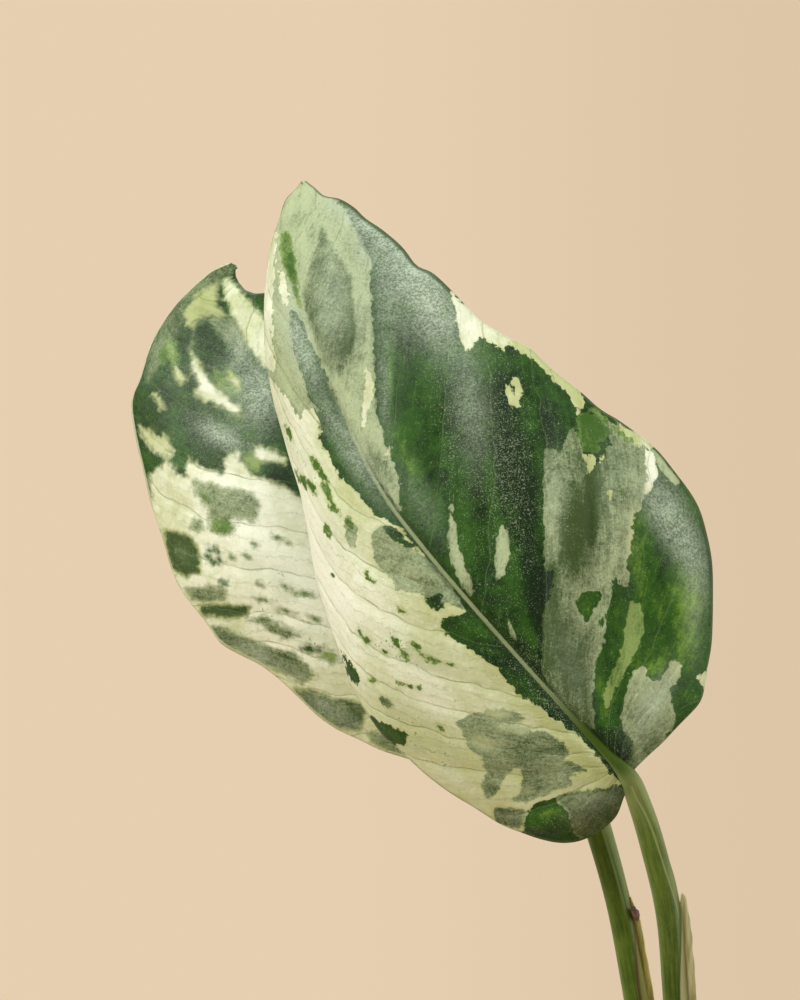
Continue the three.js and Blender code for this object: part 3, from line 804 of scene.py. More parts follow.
# Small flecks: a colour, the middle, half the length and width, and the lean in degrees
FRONT_LEAF["flecks"] = [
    ("lime", 289, 433, 8, 2.5, 70), ("lime", 315, 463, 7, 3.5, 62), ("lime", 320, 472, 6, 3, 62),
    ("lime", 325, 478, 5, 3, 62), ("lime", 302, 480, 9, 3.5, 62), ("lime", 312, 487, 7, 3.5, 60),
    ("lime", 327, 491, 9, 3.5, 62), ("lime", 334, 508, 8, 3.2, 48), ("lime", 327, 529, 5, 3, 70),
    ("lime", 329, 536, 3, 2, 70), ("lime", 333, 575, 2.6, 2.2, 0), ("lime", 367, 574, 4, 2.4, 55),
    ("lime", 371, 580, 4, 2.4, 55), ("lime", 349, 523, 4, 3, 60), ("lime", 402, 611, 4, 2, 35),
    ("lime", 367, 641, 5, 4, 120), ("lime", 396, 642, 6, 3, 60), ("lime", 416, 646, 6, 3, 50),
    ("lime", 423, 655, 5, 2.5, 40), ("lime", 431, 660, 7, 3, 15), ("lime", 386, 653, 4, 2, 30),
    ("lime", 405, 655, 6, 3, 60), ("lime", 372, 681, 4, 3, 50), ("grey", 387, 703, 7, 4, 40),
    ("lime", 440, 726, 4, 1.6, 50), ("lime", 449, 664, 4, 1.4, 20), ("lime", 403, 685, 4, 1.4, 20),
    ("lime", 418, 688, 4, 1.4, 20), ("lime", 360, 632, 3, 1.6, 40),
]
# Soft zones: the middle, half the length and width, the lean in degrees and the strength
# Where a silvery highlight is painted into the colour, standing in for light on the wax
FRONT_LEAF["painted_sheen"] = [
    (430, 300, 56, 27, 66, 1.0), (385, 395, 45, 7, 88, 0.45), (299, 338, 42, 11, 68, 0.75),
    (352, 215, 60, 12, 40, 0.6), (404, 270, 30, 16, 60, 0.6), (472, 410, 52, 16, 84, 0.42),
    (420, 500, 40, 14, 60, 0.25), (388, 300, 55, 18, 88, 0.45), (372, 226, 46, 13, 45, 0.9),
    (352, 450, 62, 12, 58, 0.6), (302, 355, 45, 12, 70, 0.4), (332, 300, 55, 18, 85, 0.45),
    (612, 500, 60, 16, 85, 0.12), (556, 490, 40, 10, 88, 0.2), (682, 535, 60, 16, 68, 0.8),
    (652, 705, 36, 13, 115, 0.55), (660, 512, 34, 14, 60, 0.65), (572, 660, 48, 16, 80, 0.2),
    (595, 805, 28, 10, 150, 0.3), (366, 254, 24, 9, 60, 0.5), (360, 300, 40, 6, 88, 0.3),
    (694, 600, 50, 10, 90, 0.35),
]
# Where fine pale glints are painted on, standing in for light glittering on the leaf's cells
FRONT_LEAF["painted_glints"] = [
    (508, 470, 120, 36, 85, 1.0), (545, 690, 75, 28, 50, 0.9), (455, 420, 100, 25, 85, 0.7),
    (430, 310, 55, 30, 66, 0.7), (405, 560, 70, 16, 55, 0.5), (520, 765, 45, 28, 0, 0.6),
    (645, 720, 40, 20, 115, 0.6), (620, 520, 70, 25, 85, 0.5), (570, 820, 50, 15, 170, 0.7),
    (350, 450, 60, 12, 58, 0.6), (560, 500, 60, 20, 88, 0.6),
]
# Where the cream is nearly white: partly whiter cream, partly painted light on the strip along the left
# margin that faces the key lamp
FRONT_LEAF["white"] = [
    (322, 560, 110, 17, 72, 1.0), (345, 590, 90, 26, 68, 0.45), (296, 430, 60, 18, 66, 0.55),
    (365, 570, 24, 14, 60, 0.3), (435, 705, 26, 12, 30, 0.3), (284, 290, 40, 8, 85, 0.3),
    (440, 772, 40, 12, 30, 0.3), (466, 322, 26, 12, 60, 0.35), (651, 470, 26, 9, 80, 0.7),
    (392, 640, 40, 20, 50, 0.5), (430, 690, 50, 26, 40, 0.45), (512, 395, 12, 12, 0, 0.3),
    (268, 310, 60, 7, 90, 0.5),
]
# Where the green is lighter and clearer, and where it is deeper: partly the leaf's own tone, partly painted
# light on the ridges of its folds and on its tip, and painted shade in the valleys
FRONT_LEAF["tone_and_painted_light"] = [
    (482, 742, 22, 9, 20, 0.5), (498, 714, 20, 5, 0, 0.5), (305, 196, 24, 14, 60, 0.35),
    (346, 398, 30, 8, 70, 0.3), (690, 610, 44, 13, 90, 0.9), (682, 640, 34, 10, 92, 0.9),
    (652, 560, 60, 6, 88, 0.35), (698, 575, 30, 7, 84, 0.4), (389, 365, 40, 4, 88, 0.7),
    (407, 458, 32, 10, 75, 0.6), (415, 470, 16, 6, 70, 0.8), (441, 400, 16, 11, 60, 0.1),
    (482, 365, 16, 12, 30, 0.5), (465, 528, 30, 9, 85, 0.6), (494, 500, 40, 8, 85, 0.6),
    (516, 572, 34, 12, 80, 0.55), (590, 606, 14, 9, 110, 0.2), (638, 550, 46, 11, 88, 1.0),
    (602, 690, 30, 6, 85, 0.75), (659, 662, 18, 11, 110, 0.5), (629, 640, 46, 13, 74, 0.6),
    (605, 704, 36, 10, 80, 0.5), (688, 630, 36, 11, 88, 1.1), (680, 585, 26, 10, 88, 0.6),
    (662, 610, 24, 8, 95, 0.5), (692, 692, 10, 12, 60, 0.4), (485, 632, 20, 8, 35, 0.5),
    (550, 815, 18, 10, 170, 0.6), (330, 255, 26, 10, 72, 0.3), (533, 640, 14, 8, 60, 0.6),
]
FRONT_LEAF["gloom"] = [
    (573, 542, 34, 10, 84, 0.75), (591, 505, 36, 4, 90, 0.9), (600, 470, 60, 30, 85, 0.35),
    (606, 748, 34, 9, 48, 0.9), (622, 752, 16, 10, 70, 1.2), (360, 335, 30, 8, 100, 0.6),
    (378, 462, 26, 9, 58, 0.75), (312, 232, 16, 10, 60, 0.35), (538, 612, 60, 8, 80, 0.5),
    (487, 590, 30, 20, 80, 0.15), (596, 768, 34, 9, 42, 0.9), (545, 716, 26, 7, 40, 0.8),
    (505, 440, 70, 16, 88, 0.7), (531, 590, 50, 10, 85, 0.7), (525, 500, 50, 10, 88, 0.8),
    (548, 420, 26, 8, 88, 0.7), (510, 650, 30, 14, 50, 0.6), (478, 460, 50, 8, 88, 0.5),
    (568, 660, 62, 20, 72, 0.8), (578, 520, 40, 16, 86, 0.5), (556, 600, 30, 10, 88, 0.5),
    (652, 745, 22, 10, 120, 0.5), (550, 575, 16, 8, 88, 0.6), (560, 705, 40, 8, 48, 0.6),
]
FRONT_LEAF["fleck_zones"] = [
    (398, 648, 55, 16, 22, 1.0), (312, 470, 45, 12, 62, 0.7), (430, 745, 70, 40, 28, 0.75),
    (335, 545, 30, 14, 75, 0.4), (380, 690, 30, 14, 45, 0.5),
]
# Where the blade swells or dips, in millimetres, placed in the same way
FRONT_LEAF["swells"] = [
    (428, 312, 60, 24, 66, 0.9), (331, 300, 62, 17, 86, 0.9), (478, 440, 80, 18, 86, 0.4),
    (571, 520, 90, 14, 88, 0.7), (594, 520, 60, 7, 88, -0.8), (618, 540, 80, 13, 92, 0.7),
    (543, 560, 110, 5, 90, -0.5), (680, 600, 80, 16, 95, 0.6), (350, 560, 120, 18, 72, 0.5),
    (560, 815, 40, 16, 170, 0.8),
]


def inside_distance(places, outline):
    """How far inside a closed outline each place lies, less than nothing outside it."""
    nearest = np.full(len(places), np.inf)
    within = np.zeros(len(places), dtype=bool)
    corners = np.asarray(outline, dtype=float)
    x, y = places[:, 0], places[:, 1]
    for start, end in zip(corners, np.roll(corners, -1, axis=0)):
        edge = end - start
        share = np.clip(((places - start) @ edge) / (edge @ edge), 0, 1)
        nearest = np.minimum(nearest, np.linalg.norm(places - start - share[:, None] * edge, axis=1))
        crosses = (start[1] > y) != (end[1] > y)
        if start[1] != end[1]:
            within ^= crosses & (x < start[0] + (y - start[1]) * edge[0] / edge[1])
    return np.where(within, nearest, -nearest)


def in_zone(places, zone):
    """How near the middle of a leaning oval zone each place is: 0 there and 1 on its outline."""
    x, y, long, short, lean = zone[:5]
    c, s = math.cos(math.radians(lean)), math.sin(math.radians(lean))
    off = places - (x, y)
    return np.hypot((off[:, 0] * c + off[:, 1] * s) / long, (off[:, 1] * c - off[:, 0] * s) / short)


def soft_zones(places, zones):
    """The zones' strengths at each place, each fading out from its middle."""
    rest = np.ones(len(places))
    for zone in zones:
        rest *= 1 - zone[5] * np.exp(-in_zone(places, zone) ** 2)
    return 1 - rest


def cloud_at(points, seed):
    """Soft noise from about -1 to 1 at each of the points."""
    return np.array([noise.noise(Vector(point) + Vector((seed, -seed, seed * 0.5))) for point in points])


def blade_skin(leaf, across, along):
    """Places on the smooth blade, before veins and swells: across from -1 to 1, along from base to tip."""
    reach = np.abs(across)[..., None]
    base = curve_at(leaf["rib"], along)
    side = (across < 0)[..., None]
    margin = np.where(side, curve_at(leaf["left"], along), curve_at(leaf["right"], along))
    half = margin - base
    held = np.clip(along, 0.01, 0.99)
    tangent = unit(curve_at(leaf["rib"], held + 0.0001) - curve_at(leaf["rib"], held - 0.0001))
    up = np.where(side, np.cross(tangent, half), np.cross(half, tangent))
    belly = np.where(side, leaf["belly"][0], leaf["belly"][1])
    return base + half * reach + up * belly * 4 * reach * (1 - reach)


def vein_number(leaf, across, along):
    """Which vein a place lies on, counted from the base, with the parts between two veins."""
    count = len(leaf["veins_right"]) - 1
    tries = np.linspace(0, count, 40 * count + 1)
    number = np.zeros_like(along)
    for column in range(along.shape[1]):
        table = np.array(leaf["veins_left" if across[0, column] < 0 else "veins_right"]) / 12
        start = np.interp(tries, range(count + 1), table[:, 0])
        end = np.interp(tries, range(count + 1), table[:, 1])
        places = start + (end - start) * abs(across[0, column]) ** 0.95
        number[:, column] = np.interp(along[:, column], places, tries)
    return number


def edge_shift(leaf, side):
    """How far the picture's margin lies from the curve's, in pixels, at many places along the blade."""
    shares = np.linspace(0, 1, 401)
    margin = in_picture(curve_at(leaf[side], shares))
    seen = curve_at(leaf["seen_" + side], np.linspace(0, 1, 1500))
    gaps = seen[None] - margin[:, None]
    nearest = np.linalg.norm(gaps, axis=2).argmin(axis=1)
    shift = gaps[np.arange(len(shares)), nearest]
    kernel = np.ones(7) / 7
    padded = np.pad(shift, ((3, 3), (0, 0)), mode="edge")
    shift = np.stack([np.convolve(padded[:, i], kernel, "valid") for i in (0, 1)], axis=1)
    return shares, np.clip(shift, -MARGIN_FIT, MARGIN_FIT)


def paint_marks(places, marks, flecks):
    """How far inside cream, grey and lime each place lies, in millimetres, and how light its tone is."""
    depth = {kind: np.full(len(places), -9.0) for kind in ("grey", "lime", "cream")}
    tone = np.zeros(len(places))
    layers = [(kind, shade, inside_distance(places, outline)) for kind, shade, outline in marks]
    for kind, *oval in flecks:
        layers.append((kind, -0.5, (1 - in_zone(places, oval)) * oval[3]))
    order = ("green", "grey", "lime", "cream")
    for kind, shade, inside in layers:
        inside = inside * PIXEL
        for other in order[order.index(kind) + 1:]:
            depth[other] = np.minimum(depth[other], -inside)
        if kind != "green":
            depth[kind] = np.maximum(depth[kind], inside + (0.12 if kind != "cream" else 0))
        cover = np.clip(inside / 0.6 + 0.5, 0, 1)
        tone = tone * (1 - cover) + shade * cover
    return depth, tone


def vein_spacing(number, down_rows, over_columns):
    """How far apart the veins run at each place, from how fast their number rises over the surface."""
    by_row, by_column = np.gradient(number, axis=0), np.gradient(number, axis=1)
    rr = (down_rows ** 2).sum(-1)
    cc = (over_columns ** 2).sum(-1)
    rc = (down_rows * over_columns).sum(-1)
    steep = by_row ** 2 * cc - 2 * by_row * by_column * rc + by_column ** 2 * rr
    steep = steep / np.maximum(rr * cc - rc ** 2, 1e-9)
    return np.clip(1 / np.sqrt(np.maximum(steep, 1e-6)), 0.5, 14)


def blade_relief(leaf, skin, reach, vein, number, pitch, rib):
    """How far the blade stands out of its smooth form: cushions between the veins, the groove over the
    midrib with a shoulder on each side, its own swells and slow waves."""
    by_rib, by_edge, by_tip = smooth(0, 0.16, reach), smooth(0, 0.14, 1 - reach), smooth(0, 0.06, 1 - vein)
    fade = by_rib * by_edge * smooth(0.3, 1.2, number) * by_tip
    valley = np.abs(np.sin(math.pi * number)) ** 0.8 - 0.45
    minor = np.abs(np.sin(2 * math.pi * number)) - 0.6
    height = QUILT * np.clip(pitch * 0.11, 0, 0.95) * fade * (valley + MINOR_QUILT * minor)
    depth, width = RIB_GROOVE
    height -= depth * np.exp(-(rib / width) ** 2) * smooth(0, 0.4, 1 - vein)
    rise, away, width = RIB_SHOULDER
    shoulder = rise * np.exp(-((np.abs(rib) - away) / width) ** 2)
    height += shoulder * smooth(0, 0.2, vein) * smooth(0, 0.1, 1 - vein)
    seen = in_picture(skin).reshape(-1, 2)
    for swell in leaf["swells"]:
        form = np.exp(-in_zone(seen, swell) ** 2).reshape(height.shape)
        height += swell[5] * form * smooth(0, 0.12, 1 - reach)
    size, length = WAVES
    waves = cloud_at(skin.reshape(-1, 3) / length, leaf["seed"]).reshape(height.shape)
    return height + size * waves * fade


def fit_margins(leaf, places, across, along):
    """Moves the margins to where the picture shows them."""
    for side, chosen in (("left", across < 0), ("right", across > 0)):
        shares, shift = edge_shift(leaf, side)
        moved = np.stack([np.interp(along, shares, shift[:, i]) for i in (0, 1)], axis=-1)
        near_edge = chosen * np.abs(across) ** 4 * smooth(0.0, 0.05, along)
        moved *= near_edge[..., None] * picture_scale(places)[..., None]
        places[..., 0] += moved[..., 0]
        places[..., 2] -= moved[..., 1]


def painted(leaf, places, order, number, rib):
    """What the blade's materials read at each vertex: its marks, painted highlights, painted glints, and
    lighter and darker zones that are partly painted light and shade.
    """
    picked = places.reshape(-1, 3)[order]
    seen = in_picture(picked)
    spot = np.stack([number * 7, rib * 0.16, np.zeros_like(rib)], axis=-1).reshape(-1, 3)[order]
    along_vein = unit(np.stack([np.gradient(in_picture(places)[..., i], axis=1) for i in (0, 1)], axis=-1))
    ragged = 1.8 * cloud_at(spot * 1.5, leaf["seed"] + 3)
    drift = np.stack([cloud_at(picked / 1.6, leaf["seed"] + i) for i in (5, 9)], axis=-1)
    warped = seen + ragged[:, None] * along_vein.reshape(-1, 2)[order] + 1.6 * drift
    depth, tone = paint_marks(warped, leaf["marks"], leaf["flecks"])
    values = {
        **depth, "tone": tone, "painted_sheen": soft_zones(seen, leaf["painted_sheen"]),
        "flecks": soft_zones(seen, leaf["fleck_zones"]), "painted_glints": soft_zones(seen, leaf["painted_glints"]),
        "white": soft_zones(warped, leaf["white"]),
        "tone_and_painted_light": soft_zones(warped, leaf["tone_and_painted_light"]) - soft_zones(warped, leaf["gloom"]),
    }
    if "hidden" in leaf:
        leaf["hidden"](values, seen, spot)
    return values


def thicken(blade, weights):
    """Gives the sheet its thickness by these weights, with an underside and a rim of their own."""
    thin = blade.vertex_groups.new(name="thickness")
    for i, weight in enumerate(weights):
        thin.add([i], float(weight), "REPLACE")
    wall = blade.modifiers.new("Leaf thickness", "SOLIDIFY")
    wall.thickness = BLADE_THICKNESS * MM
    wall.offset = -1
    wall.vertex_group = "thickness"
    wall.use_quality_normals = True
    wall.material_offset = 1
    wall.material_offset_rim = 2
    as_shown(blade)
    blade.vertex_groups.clear()


def make_blade(leaf, name, materials):
    """The blade: a fine grid bent to the leaf's surface, quilted, painted and given its thickness."""
    bm = bmesh.new()
    bmesh.ops.create_grid(bm, x_segments=BLADE_COLUMNS, y_segments=BLADE_ROWS, size=1)
    flat = np.array([vert.co for vert in bm.verts])
    column = np.rint((flat[:, 0] + 1) / 2 * BLADE_COLUMNS).astype(int)
    row = np.rint((flat[:, 1] + 1) / 2 * BLADE_ROWS).astype(int)
    order = row * (BLADE_COLUMNS + 1) + column
    across, vein = np.meshgrid(np.linspace(-1, 1, BLADE_COLUMNS + 1), np.linspace(0, 1, BLADE_ROWS + 1))
    reach = np.abs(across)
    start = 0.12 * vein + 0.88 * vein ** 2.3
    along = start + (vein - start) * reach ** 0.8
    skin = blade_skin(leaf, across, along)
    down_rows, over_columns = np.gradient(skin, axis=0), np.gradient(skin, axis=1)
    facing = unit(np.cross(over_columns, down_rows))
    facing *= np.where((facing[..., 1:2]).mean() > 0, -1, 1)

    number = vein_number(leaf, across, along)
    pitch = vein_spacing(number, down_rows, over_columns)
    margin = blade_skin(leaf, np.sign(across + 1e-9), along)
    half_width = np.linalg.norm(margin - curve_at(leaf["rib"], along), axis=-1)
    rib = across * half_width
    edge = (1 - reach) * half_width
    height = blade_relief(leaf, skin, reach, vein, number, pitch, rib)
    places = skin + height[..., None] * facing
    fit_margins(leaf, places, across, along)
    for vert, place in zip(bm.verts, places.reshape(-1, 3)[order]):
        vert.co = place * MM

    values = painted(leaf, places, order, number, rib)
    pale_margin = np.where(across < 0, leaf["left_margin"], 0.08)
    grids = {"margin": pale_margin, "vein": number, "pitch": pitch, "rib": rib, "edge": edge}
    for key, grid in grids.items():
        values[key] = grid.ravel()[order]
    blade = finished_mesh(name, bm, *materials)
    for key, numbers in values.items():
        made = blade.data.attributes.new(key, "FLOAT", "POINT")
        made.data.foreach_set("value", numbers.astype(np.float32))
    thicken(blade, (0.45 + 0.55 * smooth(0, THIN_MARGIN, edge)).ravel()[order])
    return blade


def attribute(tree, name):
    return node(tree, "Attribute", attribute_name=name).outputs["Fac"]


def near_line(tree, count, pitch, low, high):
    """1 on each whole number of count, fading out from low to high millimetres beside it."""
    part = calc(tree, "FRACT", calc(tree, "ADD", count, 0.5))
    off = times(tree, calc(tree, "ABSOLUTE", calc(tree, "SUBTRACT", part, 0.5)), pitch)
    return between(tree, off, high, low)


def over_plane(tree, first, second, layer):
    """A place in noise of its own, from two values, each given with its scale."""
    return node(tree, "CombineXYZ", {0: times(tree, *first), 1: times(tree, *second), 2: layer}).outputs[0]


# The marbling's colours, each from its darkest tone to its lightest. The cream's darkest tone also paints
# shade on shaded cream, and the grey's lightest paints light where the zones of painted light ask for it.
GREENS = srgb(14, 38, 6), srgb(46, 86, 18), srgb(122, 164, 44)
GREYS = srgb(62, 82, 38), srgb(180, 191, 150), srgb(206, 212, 158)
LIMES = srgb(58, 94, 22), srgb(140, 162, 92)
CREAMS = srgb(146, 154, 96), srgb(188, 194, 136), srgb(246, 247, 228)
GREEN_ISLETS = srgb(70, 96, 46)
PALE_WISPS = srgb(104, 128, 84)
FLECKED_CREAM = srgb(158, 172, 112)
GREEN_SPECKS = srgb(92, 128, 44)
VEINS_IN_CREAM = srgb(124, 140, 56)
VEINS_IN_GREEN = srgb(140, 160, 112)
PAINTED_RIB_SHADE = srgb(36, 60, 20)
RIB_LINE = srgb(166, 176, 132)
MARGINS = srgb(38, 66, 16), srgb(226, 226, 186)
UNDERSIDE = srgb(146, 162, 116)
PAINTED_SHEEN_COLOUR = srgb(195, 206, 186)
PAINTED_GLINT_COLOUR = srgb(178, 192, 156)
RIMS = srgb(138, 162, 58), srgb(206, 210, 150)


def marbling_group():
    """Shared marbling: reads how far inside each colour a point lies and mixes them with ragged edges."""
    group, given, result = new_group(
        "Marbling", {"Softness": "Float"}, {"Colour": "Color", "Pale": "Float", "Relief": "Float"})
    soft = given["Softness"]
    hard = times(group, soft, -1.0)
    place = millimetres(group)
    tone = attribute(group, "tone")
    vein = attribute(group, "vein")
    pitch = attribute(group, "pitch")
    rib = attribute(group, "rib")
    streak_place = over_plane(group, (vein, 9.0), (rib, 0.22), 4.0)
    streaks = cloud(group, streak_place, 1.0, detail=4.0, roughness=0.6)
    ragged = cloud(group, place, 0.7, detail=6.0, roughness=0.7)
    blotches = cloud(group, place, 0.22, detail=3.0)
    grains = cloud(group, place, 2.4, detail=3.0, distortion=0.8, roughness=0.6)
    fibre_place = over_plane(group, (vein, 34.0), (rib, 0.7), 7.0)
    fibres = cloud(group, fibre_place, 1.0, detail=2.0)
    scallops = cloud(group, place, 1.1, detail=1.5, roughness=0.4)
    offset = add_up(group, (scallops, 1.2), (ragged, 0.7), (streaks, 0.8), (grains, 0.25), (1.0, -1.475))
    against = times(group, offset, -1.0)

    tone_and_painted_light = attribute(group, "tone_and_painted_light")
    # The zones of painted light and shade lift or deepen the green, grey and cream
    green_share = add_up(group, (tone, 0.25), (tone_and_painted_light, 0.6), (blotches, 0.9), (ragged, 1.1), (grains, 0.6),
                         (streaks, 0.6), (1.0, -1.3))
    green = blend(group, between(group, green_share, -0.1, 0.6), *GREENS[:2])
    green = blend(group, between(group, green_share, 0.5, 1.3), green, GREENS[2])
    grey_share = add_up(group, (tone, 0.5), (blotches, 0.9), (streaks, 0.75), (ragged, 0.9), (grains, 1.1),
                        (fibres, 0.5), (tone_and_painted_light, 0.8), (1.0, -1.6))
    grey = blend(group, between(group, grey_share, -0.1, 1.1), *GREYS[:2])
    grey = blend(group, between(group, tone_and_painted_light, 0.15, 0.9, 0.0, 0.7), grey, GREYS[2])
    lime = blend(group, between(group, grey_share, 0.0, 1.0), *LIMES)
    white = attribute(group, "white")
    # Cream turns nearly white where the zones ask, which along the front leaf's left margin is painted
    # light
    cream_share = add_up(group, (tone, 0.6), (white, 0.75), (tone_and_painted_light, 0.45), (blotches, 0.8), (streaks, 0.4),
                         (ragged, 0.6), (1.0, -0.75))
    cream = blend(group, between(group, cream_share, -0.7, 0.1), *CREAMS[:2])
    cream = blend(group, between(group, cream_share, 0.1, 1.1), cream, CREAMS[2])

    # Green islets lie in the grey, pale wisps in the green and green specks in the cream
    islets = between(group, add_up(group, (ragged, 0.7), (streaks, 0.5)), 0.64, 0.72)
    grey = tinted(group, grey, islets, 0.38, GREEN_ISLETS)
    wisps = between(group, add_up(group, (streaks, 0.8), (ragged, 0.4)), 0.68, 0.84)
    green = tinted(group, green, wisps, 0.3, PALE_WISPS)
    flecks = attribute(group, "flecks")
    tint = times(group, flecks, between(group, blotches, 0.35, 0.6))
    cream = tinted(group, cream, tint, 0.6, FLECKED_CREAM)
    specks = add_up(group, (ragged, 0.55), (grains, 0.45), (flecks, 0.14))
    cream = blend(group, between(group, specks, 0.66, 0.72, 0.0, 0.8), cream, GREEN_SPECKS)

    grey_cover = between(group, calc(group, "ADD", attribute(group, "grey"), against), hard, soft)
    lime_cover = between(group, calc(group, "ADD", attribute(group, "lime"), against), hard, soft)
    cream_cover = between(group, calc(group, "ADD", attribute(group, "cream"), offset), hard, soft)
    colour = blend(group, grey_cover, green, grey)
    colour = blend(group, lime_cover, colour, lime)
    colour = blend(group, cream_cover, colour, cream)

    # Side veins wander a little. In the cream they and a fine net between them show as olive lines.
    wander = cloud(group, place, 0.2, detail=1.5)
    wavy = calc(group, "ADD", vein, calc(group, "DIVIDE", add_up(group, (wander, 2.2), (1.0, -1.1)), pitch))
    side_veins = near_line(group, wavy, pitch, 0.05, 0.15)
    small = calc(group, "DIVIDE", add_up(group, (ragged, 2.4), (1.0, -1.2)), pitch)
    small = times(group, calc(group, "ADD", wavy, small), 3.0)
    small_veins = near_line(group, small, calc(group, "DIVIDE", pitch, 3.0), 0.03, 0.1)
    bent = node(group, "VectorMath", {0: place, 1: node(group, "TexNoise", {
        "Vector": place, "Scale": 0.5, "Detail": 2.0}).outputs[1]}, operation="ADD").outputs[0]
    net = node(group, "TexVoronoi", {"Vector": bent, "Scale": 0.42}, feature="DISTANCE_TO_EDGE").outputs[0]
    net_lines = between(group, net, 0.04, 0.01)
    strength = between(group, streaks, 0.35, 0.65, 0.15, 1.0)
    lines = add_up(group, (side_veins, 0.55), (small_veins, 0.3), (net_lines, 0.13))
    in_cream = times(group, times(group, lines, strength), cream_cover)
    colour = blend(group, calc(group, "MINIMUM", in_cream, 0.75), colour, VEINS_IN_CREAM)
    in_green = times(group, side_veins, between(group, cream_cover, 0.0, 1.0, 0.15, 0.0))
    colour = blend(group, in_green, colour, VEINS_IN_GREEN)
    off_rib = calc(group, "ABSOLUTE", rib)
    low_part = between(group, vein, 11.0, 8.5)
    # Dark green beside the midrib: painted shade in the creases along it, weaker over cream and towards the
    # tip
    but_cream = between(group, cream_cover, 0.0, 1.0, 1.0, 0.3)
    beside = times(group, between(group, off_rib, 1.1, 0.5, 0.0, 0.55), but_cream)
    beside = times(group, beside, between(group, vein, 11.4, 8.0, 0.1, 1.0))
    colour = blend(group, beside, colour, PAINTED_RIB_SHADE)
    rib_line = times(group, between(group, off_rib, 0.36, 0.14), low_part)
    colour = tinted(group, colour, rib_line, 0.8, RIB_LINE)
    margin = blend(group, attribute(group, "margin"), *MARGINS)
    by_edge = between(group, attribute(group, "edge"), 0.6, 0.2, 0.0, 0.8)
    by_edge = times(group, by_edge, between(group, cream_cover, 0.0, 1.0, 1.0, 0.2))
    colour = blend(group, by_edge, colour, margin)

    relief = add_up(group, (side_veins, -0.4), (small_veins, -0.25), (grains, 0.6), (ragged, 0.7))
    group.links.new(colour, result["Colour"])
    group.links.new(cream_cover, result["Pale"])
    group.links.new(relief, result["Relief"])
    return group


MARBLING = marbling_group()


def marbling(tree, softness):
    made = node(tree, "Group")
    made.node_tree = MARBLING
    made.inputs["Softness"].default_value = softness
    return made.outputs


def upper_face(name, softness):
    """The blade's satin upper face, with a painted silvery highlight where its wax would catch the light.
    """
    made, tree, shader = new_material(name, specular=0.16)
    marks = marbling(tree, softness)
    place = millimetres(tree)
    leaning = node(tree, "Mapping", {0: place, 2: (0, math.radians(38), 0)}).outputs[0]
    strands = 0.0
    for scale, share in ((0.6, 0.5), (1.1, 0.5), (2.0, 0.4)):
        level = cloud(tree, leaning, scale, detail=0.5, distortion=1.3, stretch=(0.55, 1, 1))
        off_level = calc(tree, "ABSOLUTE", calc(tree, "SUBTRACT", level, 0.5))
        strands = add_up(tree, (between(tree, off_level, 0.09, 0.0), share), (strands, 1.0))
    soft_cloud = cloud(tree, place, 0.45, detail=4.0, roughness=0.6)
    shimmer = between(tree, cloud(tree, place, 3.0, detail=2.0, distortion=0.5), 0.4, 0.64)
    off_edge = between(tree, attribute(tree, "edge"), 0.25, 1.0)
    # How much painted highlight each place gets, none at the very edge
    painted_sheen = times(tree, attribute(tree, "painted_sheen"), off_edge)
    over_cream = between(tree, marks["Pale"], 0.0, 1.0, 1.0, 0.15)
    painted_sheen_cover = times(tree, painted_sheen, add_up(tree, (strands, 0.28), (soft_cloud, 0.6), (shimmer, 0.48)))
    painted_sheen_cover = times(tree, calc(tree, "MINIMUM", painted_sheen_cover, 0.9), over_cream)
    # The painted highlight: a pale silvery colour laid over the marks, faint on cream
    colour = blend(tree, painted_sheen_cover, marks["Colour"], PAINTED_SHEEN_COLOUR)
    # Fine pale specks: painted glints of light, fewer on cream
    points = cloud(tree, place, 5.0, detail=2.0)
    painted_glints = add_up(tree, (points, 1.0), (attribute(tree, "painted_glints"), 0.12), (soft_cloud, 0.2), (1.0, 0.022))
    painted_glints = times(tree, between(tree, painted_glints, 0.76, 0.88), over_cream)
    colour = tinted(tree, colour, painted_glints, 0.42, PAINTED_GLINT_COLOUR)
    tree.links.new(colour, shader.inputs["Base Color"])
    tree.links.new(between(tree, strands, 0.0, 1.0, 0.46, 0.58), shader.inputs["Roughness"])
    set_bump(tree, shader, calc(tree, "ADD", marks["Relief"], times(tree, strands, 0.4)), 0.09)
    return made


def under_face(name, softness):
    """The blade's duller underside: the same marks, greyer, and the veins standing out."""
    made, tree, shader = new_material(name, 0.6)
    marks = marbling(tree, softness)
    colour = blend(tree, 0.42, marks["Colour"], UNDERSIDE)
    tree.links.new(colour, shader.inputs["Base Color"])
    set_bump(tree, shader, times(tree, marks["Relief"], -1.0), 0.12)
    return made


def rim_material():
    made, tree, shader = new_material("Leaf margin", 0.6, 0.1)
    pale_margin = between(tree, attribute(tree, "margin"), 0.6, 0.8)
    pale = calc(tree, "MAXIMUM", marbling(tree, 0.4)["Pale"], pale_margin)
    colour = blend(tree, pale, *RIMS)
    tree.links.new(colour, shader.inputs["Base Color"])
    return made


PAINTED_LIGHT_RIGHT_FLANK = srgb(142, 148, 96)
PAINTED_LIGHT_LEFT_FLANK = srgb(120, 138, 84)
RIB_SHADED_AND_LIT_GREENS = srgb(60, 84, 14), srgb(122, 140, 86)
RIB_TIP = srgb(160, 172, 124)
KNEE_PAINTED_LIGHT = srgb(168, 172, 116)
PALE_RIDGE = srgb(156, 160, 108)


